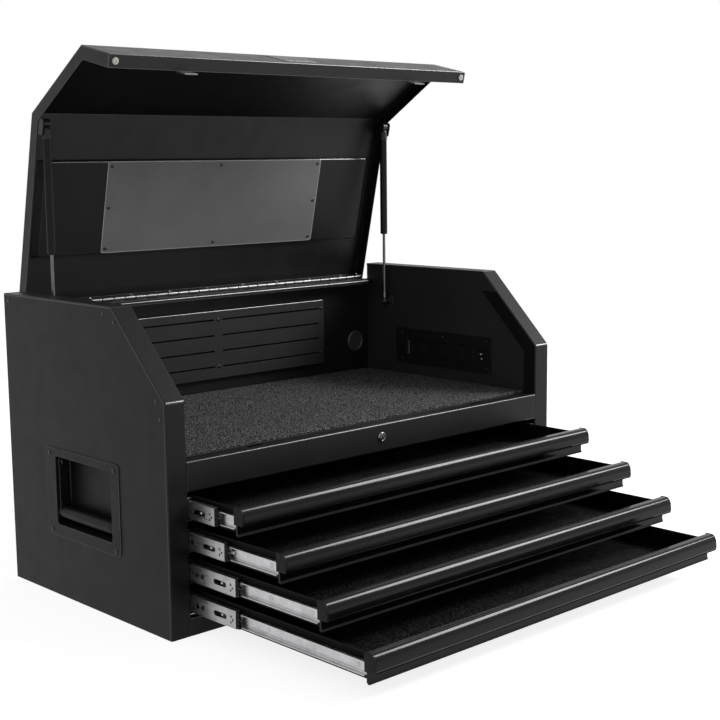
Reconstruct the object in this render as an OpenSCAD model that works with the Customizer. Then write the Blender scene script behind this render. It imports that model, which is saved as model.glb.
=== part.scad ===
// Machinist tool chest: sloped double-wall cabinet, lift-up lid on gas struts and four drawers.
// Lengths are millimetres. The origin is the centre of the footprint; +Z is up and the front faces -Y.
// Inside the modules, y is counted from the cabinet's front plane and grows towards the back.

/* [Cabinet] */
// Overall width across the side skins
cab_w = 914; // [800:1:1060]
// Depth from the front plane to the rear sheet
cab_d = 478; // [455:1:540]
// Height of the toe rail below the drawers
toe_h = 30; // [24:1:60]
// Height of the front rail above the drawers
rail_h = 49; // [44:1:70]
// Height of the upright face above the front rail
face_rise = 95.8; // [85:0.1:120]
// Height that the front slope climbs
slope_rise = 138; // [115:1:160]
// Distance that the front slope runs back
slope_run = 138; // [115:1:160]
// Thickness of the steel sheet
sheet = 1.2; // [0.8:0.1:1.6]
// Width of the flange round the front of each side
face_w = 38; // [36:1:48]
// Depth of the return behind that flange
return_d = 31; // [24:1:36]
// Depth of the ledge on top of the front rail
ledge_d = 40; // [36:1:60]

/* [Lid] */
// How far the lid stands open
lid_open = 77; // [70:1:85]
// Gap between the lid and the flange on each side
lid_gap = 4.7; // [3:0.1:6]
// Depth of the lid's side and front flanges
lid_flange = 22.5; // [18:0.5:23]
// Height of the lid's front edge above the rail
lid_lift = 11; // [9:0.1:18]
// How far the hinge axis stands behind the rear face
hinge_out = 0.8; // [0:0.1:2]
// Distance from the top of the sides down to the hinge axis
hinge_drop = 28.4; // [26:0.1:32]
// Outer radius of the hinge knuckles
knuckle_r = 4.2; // [3.6:0.1:5]
// Number of hinge knuckles
knuckles = 33; // [17:2:45]
// Radius of the hinge pin
pin_r = 2; // [1.5:0.1:2.5]
// Radial clearance of pins in their bores
pin_gap = 0.05; // [0.02:0.01:0.1]
// Distance from the bay wall to the stiffener under the lid
stiff_in = 22; // [20:1:60]
// Depth of the stiffener from front to back
stiff_d = 176; // [140:1:190]
// Height of the stiffener
stiff_h = 8; // [5:0.5:10]
// Distance from the bay wall to the blank plate on the stiffener
plate_in = 162; // [80:1:220]
// Depth of the blank plate
plate_d = 172; // [120:1:176]

/* [Gas struts] */
// Radius of the strut's tube
tube_r = 7.5; // [6.5:0.1:8.2]
// Length of the tube from the upper stud
tube_len = 225; // [200:1:232]
// Radius of the piston rod
rod_r = 3; // [2.5:0.1:4]
// Length of the rod from the lower stud
rod_len = 236; // [225:1:240]
// Width of the eye at each end of a strut
eye_w = 10; // [8:0.5:12]
// Distance of the upper stud behind the slope's top
stud_back = 11.8; // [9:0.1:16]
// Distance of the upper stud below the top of the sides
stud_drop = 29; // [26:0.5:32]
// Height of the lower stud above the front rail
stud_rise = 157.7; // [150:0.1:170]
// Distance from the bay wall to the strut's centre line
strut_inset = 17.5; // [17:0.5:20]

/* [Drawers] */
// Number of drawers
drawers = 4; // [4:1:4]
// Distance from one drawer to the next
pitch = 50.3; // [50:0.1:62]
// Height of a drawer front
front_h = 46; // [44:0.5:47]
// Height of a drawer's sides
side_h = 38; // [34:0.5:40]
// Length of a drawer's tray
tray_len = 432; // [400:1:436]
// Gap below each drawer front
drawer_gap = 2.5; // [1.5:0.1:4]
// Gap beside each drawer front
front_gap = 1.8; // [1:0.1:3]
// Opening of the top drawer
open_1 = 115.5; // [60:0.5:200]
// Opening of the second drawer
open_2 = 212.7; // [100:0.1:260]
// Opening of the third drawer
open_3 = 301.5; // [200:0.5:350]
// Opening of the bottom drawer
open_4 = 397; // [300:0.5:400]
// How far the pull stands in front of the drawer
pull_d = 18; // [14:0.5:24]
// Height of the pull's nose
nose_h = 27; // [22:0.5:30]
// Wall of the pull
pull_t = 1.8; // [1.2:0.1:2.5]
// Thickness of the pull's end caps
cap_t = 3; // [2:0.5:5]
// Thickness of the drawer liner
pad_t = 2.5; // [1.5:0.5:4]

/* [Slides] */
// Thickness of a whole slide
slide_t = 13.5; // [12.7:0.1:16]
// Height of the cabinet member
outer_h = 37; // [36:0.5:40]
// Height of the middle member
mid_h = 29; // [28:0.5:30]
// Height of the drawer member
inner_h = 21; // [19:0.5:22]
// Thickness of the slide members
slide_sheet = 1.2; // [1:0.1:1.5]
// Running gap at the balls
ball_gap = 0.3; // [0.15:0.05:0.5]
// Middle member's travel at rest, top slide
mid_1 = 76; // [30:1:110]
// Middle member's travel at rest, second slide
mid_2 = 99; // [50:1:120]
// Middle member's travel at rest, third slide
mid_3 = 124; // [90:1:150]
// Middle member's travel at rest, bottom slide
mid_4 = 123; // [100:1:180]

/* [Side handles] */
// Width of the handle's opening
grab_w = 171; // [140:1:190]
// Height of the handle's opening
grab_h = 119; // [100:1:130]
// Height of the opening's lower edge
grab_z = 127; // [90:1:140]
// Distance from the front to the opening's front edge
grab_y = 156; // [120:1:200]
// Border of the handle plate beside the opening
grab_rim = 24; // [18:1:30]
// Depth of the handle pocket
grab_depth = 30; // [26:1:32]
// Radius of the grip
grip_r = 11; // [9:0.5:13]
// Thickness of the handle plate
grab_t = 1.5; // [1:0.1:2.5]

/* [Compartment] */
// Thickness of the compartment mat
mat_t = 3; // [2:0.5:6]
// Distance from the front to the mat's edge
mat_y = 29; // [28:0.5:35]
// Distance from the bay wall to the vent panel
vent_in = 138; // [110:1:220]
// Height of the vent panel
vent_h = 137; // [120:1:150]
// Height of the vent panel's lower edge above the rail
vent_rise = 29; // [20:1:35]
// How far the vent panel stands in front of the rear sheet
vent_off = 12.3; // [8:0.1:16]
// Number of rows of vents
vent_rows = 4; // [3:1:5]
// Distance from one row of vents to the next
vent_pitch = 31.3; // [24:0.1:34]
// Distance from the bay wall to the cable bushing's centre
port_in = 38; // [34:1:60]
// Radius of the cable bushing's hole
port_r = 19; // [14:1:24]
// Length of the power strip's plate
power_len = 272; // [260:1:300]
// Height of the power strip's plate
power_h = 75; // [70:1:90]
// Radius of the lock body
lock_r = 7.5; // [7:0.5:10]
// Distance from the bay wall to the lid hooks
hook_in = 151; // [60:1:200]
// Width of a lid hook
hook_w = 26; // [20:1:40]

/* [Hidden] */
$fn = 48;
eps = 0.01;

// Levels and places that follow from the sizes above
rail_z = toe_h + drawers * pitch;
rail_top = rail_z + rail_h;
slope_z = rail_top + face_rise;
cab_h = slope_z + slope_rise;
half_w = cab_w / 2;
skin_x = half_w - sheet;
bay_x = half_w - face_w;
liner_x = bay_x + sheet;
vent_half = bay_x - vent_in;
port_x = bay_x - port_in;
stiff_w = 2 * (bay_x - stiff_in);
plate_w = 2 * (bay_x - plate_in);
hook_x = bay_x - hook_in;
slope_a = atan2(slope_rise, slope_run);
back_y = cab_d - sheet;
hinge_y = cab_d + hinge_out;
hinge_z = cab_h - hinge_drop;
shelf_z = hinge_z - knuckle_r - 0.3;
shelf_d = 37.5;
shelf_end = 30;
shelf_strip = 22;
shelf_lip = 7;
floor_z = rail_top + sheet;
mat_x = bay_x - 4;

// Colours
black_paint = [0.06, 0.06, 0.065];
gloss_black = [0.03, 0.03, 0.035];
grey_paint = [0.33, 0.33, 0.34];
mat_grey = [0.16, 0.16, 0.17];
zinc = [0.72, 0.73, 0.74];
steel = [0.55, 0.56, 0.58];
plastic = [0.09, 0.09, 0.1];
rubber = [0.6, 0.6, 0.58];

// Puts children, drawn with y from the front plane, into the part's frame
module placed() translate([0, -cab_d / 2, 0]) children();

// Draws children on the right, or mirrored to the left
module on_side(side) mirror([side < 0 ? 1 : 0, 0, 0]) children();

// Draws children on both sides
module both_sides() {
  on_side(1) children();
  on_side(-1) children();
}

// A box given by its low and high corners
module block(lo, hi) translate(lo) cube(hi - lo);

// Extrudes a (y, z) outline from x0 to x1
module across(x0, x1) translate([x0, 0, 0]) rotate([90, 0, 90]) linear_extrude(x1 - x0) children();

// A round bar along X, Y or Z, from its start point
module bar_x(p, r, l) translate(p) rotate([0, 90, 0]) cylinder(r = r, h = l);
module bar_y(p, r, l) translate(p) rotate([-90, 0, 0]) cylinder(r = r, h = l);

// Points of the cabinet's front edge, moved inwards by t: upright, slope and top
function bend_low(t) = [t, slope_z - t * tan((90 - slope_a) / 2)];
function bend_high(t) = [slope_run + t * tan(slope_a / 2), cab_h - t];

// y on the slope moved inwards by t, at the height z
function slope_y(z, t) = (z - slope_z + t / cos(slope_a)) / tan(slope_a);

// Points of an arc in the (y, z) plane
function arc(c, r, a0, a1, n) =
  [for (i = [0:n]) let(a = a0 + (a1 - a0) * i / n) c + r * [cos(a), sin(a)]];

// ---- Cabinet ----

// Side skin with the flange round its front, slope and top, and the return behind the flange
module side_panel() {
  difference() {
    union() {
      across(skin_x, half_w) polygon([[0, 0], bend_low(0), bend_high(0), [cab_d, cab_h], [cab_d, 0]]);
      across(bay_x, half_w) polygon([[0, 0], bend_low(0), bend_high(0), [cab_d, cab_h],
        [cab_d, cab_h - sheet], bend_high(sheet), bend_low(sheet), [sheet, 0]]);
      across(bay_x, liner_x) polygon([[0, sheet], bend_low(0), [slope_y(cab_h - face_w, 0), cab_h - face_w],
        [slope_y(cab_h - face_w, return_d), cab_h - face_w], bend_low(return_d), [return_d, sheet]]);
    }
    block([skin_x - 1, grab_y - 2 * grab_t, grab_z - 2 * grab_t],
      [half_w + 1, grab_y + grab_w + 2 * grab_t, grab_z + grab_h + 2 * grab_t]);
    for (p = concat(rivet_places(), grab_screws())) bar_x([skin_x - 1, p[0], p[1]], screw_r, sheet + 2);
  }
}
module side_panel_left() color(black_paint) placed() on_side(-1) side_panel();
module side_panel_right() color(black_paint) placed() on_side(1) side_panel();

// Inner wall outside the return, from the base to the top flange
liner_gap = 2.5;
module liner_sheet() {
  top = cab_h - sheet;
  across(liner_x, liner_x + sheet) polygon([[liner_gap, sheet], bend_low(liner_gap),
    [slope_y(top, liner_gap), top], [back_y, top], [back_y, sheet]]);
}
power_y = return_d + 83;
power_z = rail_top + 26;
power_rim = 12;
module liner_left() color(black_paint) placed() on_side(-1) liner_sheet();
module liner_right() color(black_paint) placed() difference() {
  liner_sheet();
  block([liner_x - 1, strip_y0, strip_z0], [liner_x + sheet + 1, strip_y1, strip_z1]);
}

// Rear sheet, folded forward into the shelf that carries the hinge
vent_z = rail_top + vent_rise;
slot_x0 = 10;
slot_x1 = vent_half - 15;
slot_h = 4;
vent_first = vent_z + (vent_h - (vent_rows - 1) * vent_pitch) / 2 + 2.6;
// Two columns of slots from y0 to y1, the lowest row at the height z
module vent_slots(y0, y1, z) both_sides() for (i = [0:vent_rows - 1])
  block([slot_x0, y0, z + i * vent_pitch - slot_h / 2], [slot_x1, y1, z + i * vent_pitch + slot_h / 2]);
port_z = rail_top + 66;
shelf_x = bay_x - shelf_end;
module back_panel() color(black_paint) placed() {
  difference() {
    union() {
      block([-skin_x, back_y, 0], [skin_x, cab_d, shelf_z]);
      both_sides() block([liner_x, back_y, shelf_z - eps], [skin_x, cab_d, cab_h - sheet]);
      block([-liner_x, cab_d - shelf_strip, shelf_z - sheet], [liner_x, cab_d, shelf_z]);
      block([-shelf_x, cab_d - shelf_d, shelf_z - sheet], [shelf_x, cab_d, shelf_z]);
      block([-shelf_x, cab_d - shelf_d, shelf_z - shelf_lip], [shelf_x, cab_d - shelf_d + sheet, shelf_z]);
    }
    vent_slots(back_y - 1, cab_d + 1, vent_first - vent_pitch / 2);
    bar_y([port_x, back_y - 1, port_z], port_r, sheet + 2);
  }
}

// Bottom sheet with the toe rail and its top fold
module base_pan() color(black_paint) placed() {
  block([-skin_x, sheet, 0], [skin_x, back_y, sheet]);
  block([-bay_x, 0, 0], [bay_x, sheet, toe_h]);
  block([-bay_x, 0, toe_h - sheet], [bay_x, 20, toe_h]);
}

// Front rail with its ledge, bottom fold, lock hole and hook slots
lock_z = rail_z + rail_h / 2 + 1.3;
hook_t = 2.4;
hook_slack = 4;
hook_swing = 6;
hook_stop = 3.4;
module top_rail() color(black_paint) placed() difference() {
  union() {
    block([-bay_x, 0, rail_z], [bay_x, sheet, rail_top]);
    block([-bay_x, 0, rail_top - sheet], [bay_x, ledge_d, rail_top]);
    block([-bay_x, 0, rail_z], [bay_x, 20, rail_z + sheet]);
  }
  bar_y([0, -1, lock_z], lock_r, sheet + 2);
  both_sides() block([hook_x - hook_w / 2 - hook_slack, lid_flange - hook_swing, rail_top - sheet - 1],
    [hook_x + hook_w / 2 + hook_slack, lid_flange + hook_t + hook_stop, rail_top + 1]);
}

// Sheet under the compartment
module compartment_floor() color(black_paint) placed() {
  block([-bay_x, mat_y, rail_top], [bay_x, back_y, floor_z]);
  block([-liner_x, return_d, rail_top], [liner_x, back_y, floor_z]);
}
module compartment_mat() color(mat_grey) placed()
  block([-mat_x, mat_y, floor_z], [mat_x, back_y - 4, floor_z + mat_t]);

// Louvred pan that stands in front of the rear sheet
vent_y = back_y - vent_off;
module vent_panel() color(black_paint) placed() difference() {
  union() {
    block([-vent_half, vent_y, vent_z], [vent_half, vent_y + sheet, vent_z + vent_h]);
    for (z = [vent_z, vent_z + vent_h - sheet])
      block([-vent_half, vent_y, z], [vent_half, back_y, z + sheet]);
    both_sides() block([vent_half - sheet, vent_y, vent_z], [vent_half, back_y, vent_z + vent_h]);
  }
  vent_slots(vent_y - 1, vent_y + sheet + 1, vent_first);
  for (p = vent_screws()) bar_y([p[0], vent_y - 1, p[1]], screw_r, sheet + 2);
}

// Cable bushing with its snap-in cover
module cable_grommet() color(plastic) placed() {
  difference() {
    union() {
      bar_y([port_x, back_y - 4, port_z], port_r + 4, 4);
      bar_y([port_x, back_y - 1, port_z], port_r - 0.2, sheet + 1);
    }
    bar_y([port_x, back_y - 5, port_z], port_r - 3, sheet + 10);
  }
  bar_y([port_x, back_y - 2, port_z], port_r - 3 + eps, 2);
}

// Outlet strip: plate on the liner, and the body in the cavity behind it
outlets = 5;
outlet_pitch = 36;
outlet_first = 38;
blade_in = 6.4;
strip_low = 16;
strip_end = 32;
strip_high = 22;
strip_body = 28;
strip_gap = 0.3;
strip_y0 = power_y + power_rim;
strip_y1 = power_y + power_len - strip_end;
switch_in = 29;
strip_z0 = power_z + strip_low;
strip_z1 = power_z + power_h - strip_high;
switch_y = power_y + switch_in;
switch_z = (strip_z0 + strip_z1) / 2;
switch_w = 15;
switch_h = 24;
module power_strip() color(plastic) placed() difference() {
  union() {
    difference() {
      block([liner_x - grab_t, power_y, power_z], [liner_x, power_y + power_len, power_z + power_h]);
      block([liner_x - grab_t - 1, strip_y0 + 1, strip_z0 + 1], [liner_x + 1, strip_y1 - 1, strip_z1 - 1]);
    }
    block([liner_x - eps, strip_y0 + strip_gap, strip_z0 + strip_gap],
      [liner_x + strip_body, strip_y1 - strip_gap, strip_z1 - strip_gap]);
  }
  for (i = [0:outlets - 1]) let(y = switch_y + outlet_first + i * outlet_pitch) {
    for (s = [-1, 1]) let(blade = y + s * blade_in)
      block([liner_x - 1, blade - 1, switch_z - 1], [liner_x + 12, blade + 1, switch_z + 7]);
    bar_x([liner_x - 1, y, switch_z - 8], 2.4, 13);
  }
  block([liner_x - 1, switch_y - switch_w / 2, switch_z - switch_h / 2],
    [liner_x + 14, switch_y + switch_w / 2, switch_z + switch_h / 2]);
  for (p = power_screws()) bar_x([liner_x - grab_t - 1, p[0], p[1]], screw_r, grab_t + 1.5);
}

// Rocker that tilts on an axle along Y in the strip's window
rocker_x = liner_x + 7;
module power_switch() color(gloss_black) placed() {
  bar_y([rocker_x, switch_y - switch_w / 2 + 0.3, switch_z], 5, switch_w - 0.6);
  translate([0, switch_y + switch_w / 2 - 0.8, 0]) rotate([90, 0, 0]) linear_extrude(switch_w - 1.6)
    polygon([[rocker_x, switch_z - 9], [rocker_x - 5, switch_z - 9.5], [rocker_x - 6.8, switch_z],
      [rocker_x - 9.2, switch_z + 9], [rocker_x - 4, switch_z + 9]]);
}

// ---- Hinge ----
hinge_len = 2 * (bay_x - 14);
knuckle_w = hinge_len / knuckles;
function knuckle_x(i) = -hinge_len / 2 + i * knuckle_w;
leaf_t = 1;
leaf_w = 21;
clear_r = knuckle_r + 0.4;
knuckle_gap = 0.15;
module knuckle_row(first) for (i = [first:2:knuckles - 1])
  bar_x([knuckle_x(i) + knuckle_gap, hinge_y, hinge_z], knuckle_r, knuckle_w - 2 * knuckle_gap);
module knuckle_bore() bar_x([-hinge_len / 2 - 1, hinge_y, hinge_z], pin_r + pin_gap, hinge_len + 2);

// Leaf that lies on the shelf
module hinge_leaf_cabinet() color(steel) placed() difference() {
  union() {
    block([-hinge_len / 2, hinge_y - leaf_w, shelf_z], [hinge_len / 2, hinge_y - clear_r, shelf_z + leaf_t]);
    for (i = [0:2:knuckles - 1])
      block([knuckle_x(i) + knuckle_gap, hinge_y - clear_r - eps, shelf_z],
        [knuckle_x(i + 1) - knuckle_gap, hinge_y, shelf_z + leaf_t]);
    knuckle_row(0);
  }
  knuckle_bore();
}
// Pin held in the cabinet's end knuckles
module hinge_pin() color(steel) placed()
  bar_x([-hinge_len / 2, hinge_y, hinge_z], pin_r, hinge_len);

// Leaf behind the lid's rear flange
lid_back = hinge_y + knuckle_r - leaf_t;
lid_edge = hinge_z + clear_r + 0.1;
module hinge_leaf_lid() color(steel) lid_placed() difference() {
  union() {
    block([-hinge_len / 2, lid_back, lid_edge], [hinge_len / 2, lid_back + leaf_t, cab_h - 3]);
    for (i = [1:2:knuckles - 1])
      block([knuckle_x(i) + knuckle_gap, lid_back, hinge_z],
        [knuckle_x(i + 1) - knuckle_gap, lid_back + leaf_t, lid_edge + eps]);
    knuckle_row(1);
  }
  knuckle_bore();
}

// ---- Lock ----
module lock_body() color(zinc) placed() difference() {
  union() {
    bar_y([0, -2, lock_z], lock_r + 1.5, 2);
    bar_y([0, -eps, lock_z], lock_r - 0.1, 22);
  }
  bar_y([0, -3, lock_z], plug_r + pin_gap, 30);
}
plug_r = 5;
module lock_plug() color(steel) placed() difference() {
  union() {
    bar_y([0, -2.4, lock_z], plug_r, 27);
    block([-5, 22.4, lock_z - 15], [5, 24.4, lock_z]);
  }
  block([-0.8, -4, lock_z - 4], [0.8, 12, lock_z + 4]);
}

// ---- Side handles ----
pivot_drop = 11;
pivot_x = half_w - grip_r - 0.3;
pivot_z = grab_z + grab_h - pivot_drop;
pivot_r = 2.5;
arm_t = 3;
arm_w = 14;
arm_gap = 1.2;
grip_z = grab_z + grip_r + 9;
grab_y1 = grab_y + grab_w;
grab_z1 = grab_z + grab_h;

// Plate with the pocket behind it and the two pivot rivets
module handle_pocket() {
  difference() {
    union() {
      block([half_w, grab_y - grab_rim, grab_z - grab_rim + 4],
        [half_w + grab_t, grab_y1 + grab_rim + 4, grab_z1 + grab_rim - 10]);
      block([half_w - grab_depth, grab_y - grab_t, grab_z - grab_t],
        [half_w + eps, grab_y1 + grab_t, grab_z1 + grab_t]);
    }
    block([half_w - grab_depth + grab_t, grab_y, grab_z], [half_w + grab_t + 1, grab_y1, grab_z1]);
    for (p = grab_screws()) bar_x([half_w - 1, p[0], p[1]], screw_r, grab_t + 2);
  }
  bar_y([pivot_x, grab_y - eps, pivot_z], pivot_r, arm_gap + arm_t + 1);
  bar_y([pivot_x, grab_y1 + eps - arm_gap - arm_t - 1, pivot_z], pivot_r, arm_gap + arm_t + 1);
}
module handle_pocket_left() color(black_paint) placed() on_side(-1) handle_pocket();
module handle_pocket_right() color(black_paint) placed() on_side(1) handle_pocket();

// Drop bail: two arms on the rivets and the grip between them
module bail_arm(y) difference() {
  union() {
    bar_y([pivot_x, y, pivot_z], 8, arm_t);
    bar_y([pivot_x, y, grip_z], grip_r - 1, arm_t);
    block([pivot_x - arm_w / 2, y, grip_z], [pivot_x + arm_w / 2, y + arm_t, pivot_z]);
  }
  bar_y([pivot_x, y - 1, pivot_z], pivot_r + pin_gap, arm_t + 2);
}
module handle_bail() {
  bail_arm(grab_y + arm_gap);
  bail_arm(grab_y1 - arm_gap - arm_t);
  bar_y([pivot_x, grab_y + arm_gap + arm_t - eps, grip_z], grip_r, grab_w - 2 * (arm_gap + arm_t) + 2 * eps);
}
module handle_bail_left() color(black_paint) placed() on_side(-1) handle_bail();
module handle_bail_right() color(black_paint) placed() on_side(1) handle_bail();

// ---- Fasteners of the cabinet ----
screw_r = 1.9;
function rivet_places() = [[22, slope_z + 1], [13, slope_z - 26], [slope_run - 6, cab_h - 24],
  [slope_run + 24, cab_h - 13], [cab_d - 16, cab_h - 13]];
function grab_screws() = [for (y = [grab_y - 10, grab_y1 + 16], z = [grab_z - 12, grab_z1 + 3]) [y, z]];
function vent_screws() = [for (x = [-1, 0, 1], i = [0, vent_rows - 1])
  [x * (vent_half - 9), vent_first + i * vent_pitch]];
function power_screws() = [for (k = [-1, 0, 1], z = [power_z + 9.5, power_z + power_h - 10.5])
  [power_y + power_len / 2 + k * (power_len / 2 - 16), z]];
module screw_x(p, x, head, len) {
  bar_x([x, p[0], p[1]], head, 1.2);
  bar_x([x - len, p[0], p[1]], screw_r, len + eps);
}
module cabinet_screws() color(steel) placed() {
  both_sides() {
    for (p = rivet_places()) screw_x(p, half_w, 3.4, sheet + 0.6);
    for (p = grab_screws()) screw_x(p, half_w + grab_t, 4, grab_t + sheet + 0.6);
  }
  for (p = power_screws()) mirror([1, 0, 0]) screw_x(p, -liner_x + grab_t, 3.6, grab_t);
  for (p = vent_screws()) {
    bar_y([p[0], vent_y - 1.4, p[1]], 3.6, 1.4);
    bar_y([p[0], vent_y - eps, p[1]], screw_r, 5);
  }
}

// ---- Lid ----
// Draws children, given in the closed position, at the lid's open position
module lid_placed() placed() translate([0, hinge_y, hinge_z]) rotate([-lid_open, 0, 0])
  translate([0, -hinge_y, -hinge_z]) children();
lid_x = bay_x - lid_gap;
lid_z = rail_top + lid_lift;

module lid_shell() color(black_paint) lid_placed() {
  across(-lid_x, lid_x) polygon([[0, lid_z], bend_low(0), bend_high(0), [lid_back, cab_h],
    [lid_back, lid_edge], [lid_back - sheet, lid_edge], [lid_back - sheet, cab_h - sheet],
    bend_high(sheet), bend_low(sheet), [sheet, lid_z]]);
  both_sides() across(lid_x - sheet, lid_x) polygon([[0, lid_z], bend_low(0), bend_high(0), [lid_back, cab_h],
    [lid_back, cab_h - lid_flange], bend_high(lid_flange), bend_low(lid_flange), [lid_flange, lid_z]]);
  block([-lid_x, 0, lid_z], [lid_x, lid_flange, lid_z + sheet]);
}

// Shallow pan under the lid's top
stiff_y = slope_run + 82;
stiff_z = cab_h - sheet - stiff_h;
module lid_stiffener() color(black_paint) lid_placed() difference() {
  block([-stiff_w / 2, stiff_y, stiff_z], [stiff_w / 2, stiff_y + stiff_d, cab_h - sheet]);
  block([-stiff_w / 2 + sheet, stiff_y + sheet, stiff_z + sheet],
    [stiff_w / 2 - sheet, stiff_y + stiff_d - sheet, cab_h]);
  for (p = plate_screws()) translate([p[0], p[1], stiff_z - 1]) cylinder(r = screw_r, h = sheet + 2);
}
plate_y = stiff_y + (stiff_d - plate_d) / 2;
function plate_screws() = [for (x = [-1, 0, 1], y = [-1, 0, 1]) if (x != 0 || y != 0)
  [x * (plate_w / 2 - 9), plate_y + plate_d / 2 + y * (plate_d / 2 - 9)]];
module lid_plate() color(grey_paint) lid_placed() difference() {
  block([-plate_w / 2, plate_y, stiff_z - leaf_t], [plate_w / 2, plate_y + plate_d, stiff_z]);
  for (p = plate_screws()) translate([p[0], p[1], stiff_z - 3]) cylinder(r = screw_r, h = 6);
}
leaf_screws = 9;
function leaf_screw_x(i) = -hinge_len / 2 + (i + 0.5) * hinge_len / leaf_screws;
module lid_screws() color([0.12, 0.12, 0.12]) lid_placed() {
  for (p = plate_screws()) {
    translate([p[0], p[1], stiff_z - leaf_t - 1.4]) cylinder(r = 3.4, h = 1.4);
    translate([p[0], p[1], stiff_z - leaf_t - eps]) cylinder(r = screw_r - 0.05, h = leaf_t + 3);
  }
  for (i = [0:leaf_screws - 1])
    bar_y([leaf_screw_x(i), lid_back - sheet - 1.4, cab_h - 10], 3.4, 1.4);
}

// Flat round bumpers at the ends of the front flange
bumper_r = 6;
bumper_h = 3;
bumper_in = 12;
module lid_bumpers() color(rubber) lid_placed() both_sides()
  translate([lid_x - bumper_in, lid_flange / 2, lid_z - bumper_h]) cylinder(r = bumper_r, h = bumper_h);

// Latch hooks: a foot on the front flange and a leg behind its edge
hook_drop = 22;
hook_foot = 14;
module lid_hooks() color(zinc) lid_placed() both_sides() {
  block([hook_x - hook_w / 2, lid_flange - hook_foot, lid_z + sheet],
    [hook_x + hook_w / 2, lid_flange + hook_t, lid_z + sheet + hook_t]);
  block([hook_x - hook_w / 2, lid_flange, lid_z - hook_drop],
    [hook_x + hook_w / 2, lid_flange + hook_t, lid_z + sheet + hook_t]);
}

// ---- Gas struts ----
strut_x = bay_x - strut_inset;
stud_closed = [slope_run + stud_back, cab_h - stud_drop];
arm = stud_closed - [hinge_y, hinge_z];
stud_open = [hinge_y + arm[0] * cos(lid_open) + arm[1] * sin(lid_open),
  hinge_z - arm[0] * sin(lid_open) + arm[1] * cos(lid_open)];
foot = [stud_open[0], rail_top + stud_rise];
stud_r = 4;
eye_r = 7.5;
socket_r = 8.2;
socket_low = 27;
socket_high = 6.5;
seat_gap = 0.3;
lug_r = 12;
lug_t = 2;
lug_x = lid_x - sheet - lug_t;
lid_stud_r = 5;
lid_lug = [9, 20];

// Bracket on the liner with the stud that carries the rod's eye
module strut_studs_cabinet() color(zinc) placed() both_sides() {
  block([liner_x - lug_t, foot[0] - lug_r, foot[1] - 1.5 * lug_r], [liner_x, foot[0] + lug_r, foot[1] + lug_r]);
  bar_x([strut_x - eye_w / 2 - 1, foot[0], foot[1]], stud_r, liner_x - strut_x + eye_w / 2);
}
// Bracket on the lid's side flange with the stud, which ends just short of the tube's eye
module strut_studs_lid() color(zinc) lid_placed() both_sides() {
  block([lug_x, stud_closed[0] - lid_lug[0], stud_closed[1] - lid_lug[0]],
    [lug_x + lug_t, stud_closed[0] + lid_lug[1], stud_closed[1] + lid_lug[1]]);
  bar_x([strut_x + tube_r + seat_gap, stud_closed[0], stud_closed[1]], lid_stud_r,
    lug_x - strut_x - tube_r - seat_gap + eps);
}

// Piston rod, standing on the lower stud
module strut_rod() difference() {
  union() {
    bar_x([strut_x - eye_w / 2, foot[0], foot[1]], eye_r, eye_w);
    translate([strut_x, foot[0], foot[1]]) {
      cylinder(r = rod_r, h = rod_len);
      cylinder(r = rod_r + 1.6, h = 20);
      translate([0, 0, rod_len - 8]) cylinder(r = tube_r - 1.5, h = 8);
    }
  }
  bar_x([strut_x - eye_w, foot[0], foot[1]], stud_r + pin_gap, 2 * eye_w);
}
module strut_rod_left() color(steel) placed() on_side(-1) strut_rod();
module strut_rod_right() color(steel) placed() on_side(1) strut_rod();

// Tube with its gland below and its eye above
module strut_tube() difference() {
  union() {
    bar_x([strut_x - eye_w / 2, stud_open[0], stud_open[1]], eye_r, eye_w / 2 + tube_r);
    translate([strut_x, stud_open[0], stud_open[1] - tube_len]) cylinder(r = tube_r, h = tube_len - 10);
    translate([strut_x, stud_open[0], stud_open[1] - socket_low])
      cylinder(r = socket_r, h = socket_low - socket_high);
  }
  translate([strut_x, stud_open[0], stud_open[1] - tube_len + 3]) cylinder(r = tube_r - 1.2, h = tube_len - 16);
  translate([strut_x, stud_open[0], stud_open[1] - tube_len - 1]) cylinder(r = rod_r + pin_gap, h = 6);
}
module strut_tube_left() color(plastic) placed() on_side(-1) strut_tube();
module strut_tube_right() color(plastic) placed() on_side(1) strut_tube();

// ---- Drawers ----
openings = [open_1, open_2, open_3, open_4];
mid_travels = [mid_1, mid_2, mid_3, mid_4];
function drawer_z(i) = toe_h + drawer_gap + (drawers - i) * pitch;
front_x = bay_x - front_gap;
box_x = bay_x - slide_t;
tray_sheet = 1;
tray_lift = 2;
slide_z = 19.5;

// Draws children, given with the drawer shut and from its lower edge, at drawer i's opening
module drawer_placed(i) placed() translate([0, -openings[i - 1], drawer_z(i)]) children();

// Folded tray with its front sheet
module drawer_tray(i) color(black_paint) drawer_placed(i) {
  difference() {
    block([-box_x, tray_sheet, tray_lift], [box_x, tray_len, tray_lift + side_h]);
    block([-box_x + tray_sheet, 2 * tray_sheet, tray_lift + tray_sheet],
      [box_x - tray_sheet, tray_len - tray_sheet, side_h + 10]);
  }
  block([-front_x + cap_t, 0, 1], [front_x - cap_t, tray_sheet + eps, front_h - 2]);
}

// Cross-section of the pull's nose, from the top round to its lower edge
nose_r = 8;
function nose_outer(g) = concat([[-g, front_h - g]],
  arc([-pull_d + nose_r, front_h - nose_r], nose_r - g, 90, 180, 10),
  [[-pull_d + g, front_h - nose_h + 3], [-pull_d + 2 + g, front_h - nose_h]]);
module drawer_pull(i) color(gloss_black) drawer_placed(i) across(-front_x + cap_t, front_x - cap_t)
  polygon(concat([[0, 0], [-4, -0.8], [-3.2, 1.6], [-pull_t, 3.2], [-pull_t, front_h - pull_t]],
    [for (p = nose_outer(pull_t)) if (p[0] < -pull_t) p], [[-pull_d + 1, front_h - nose_h - 0.5]],
    [for (k = [len(nose_outer(0)) - 2:-1:0]) nose_outer(0)[k]]));

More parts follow.
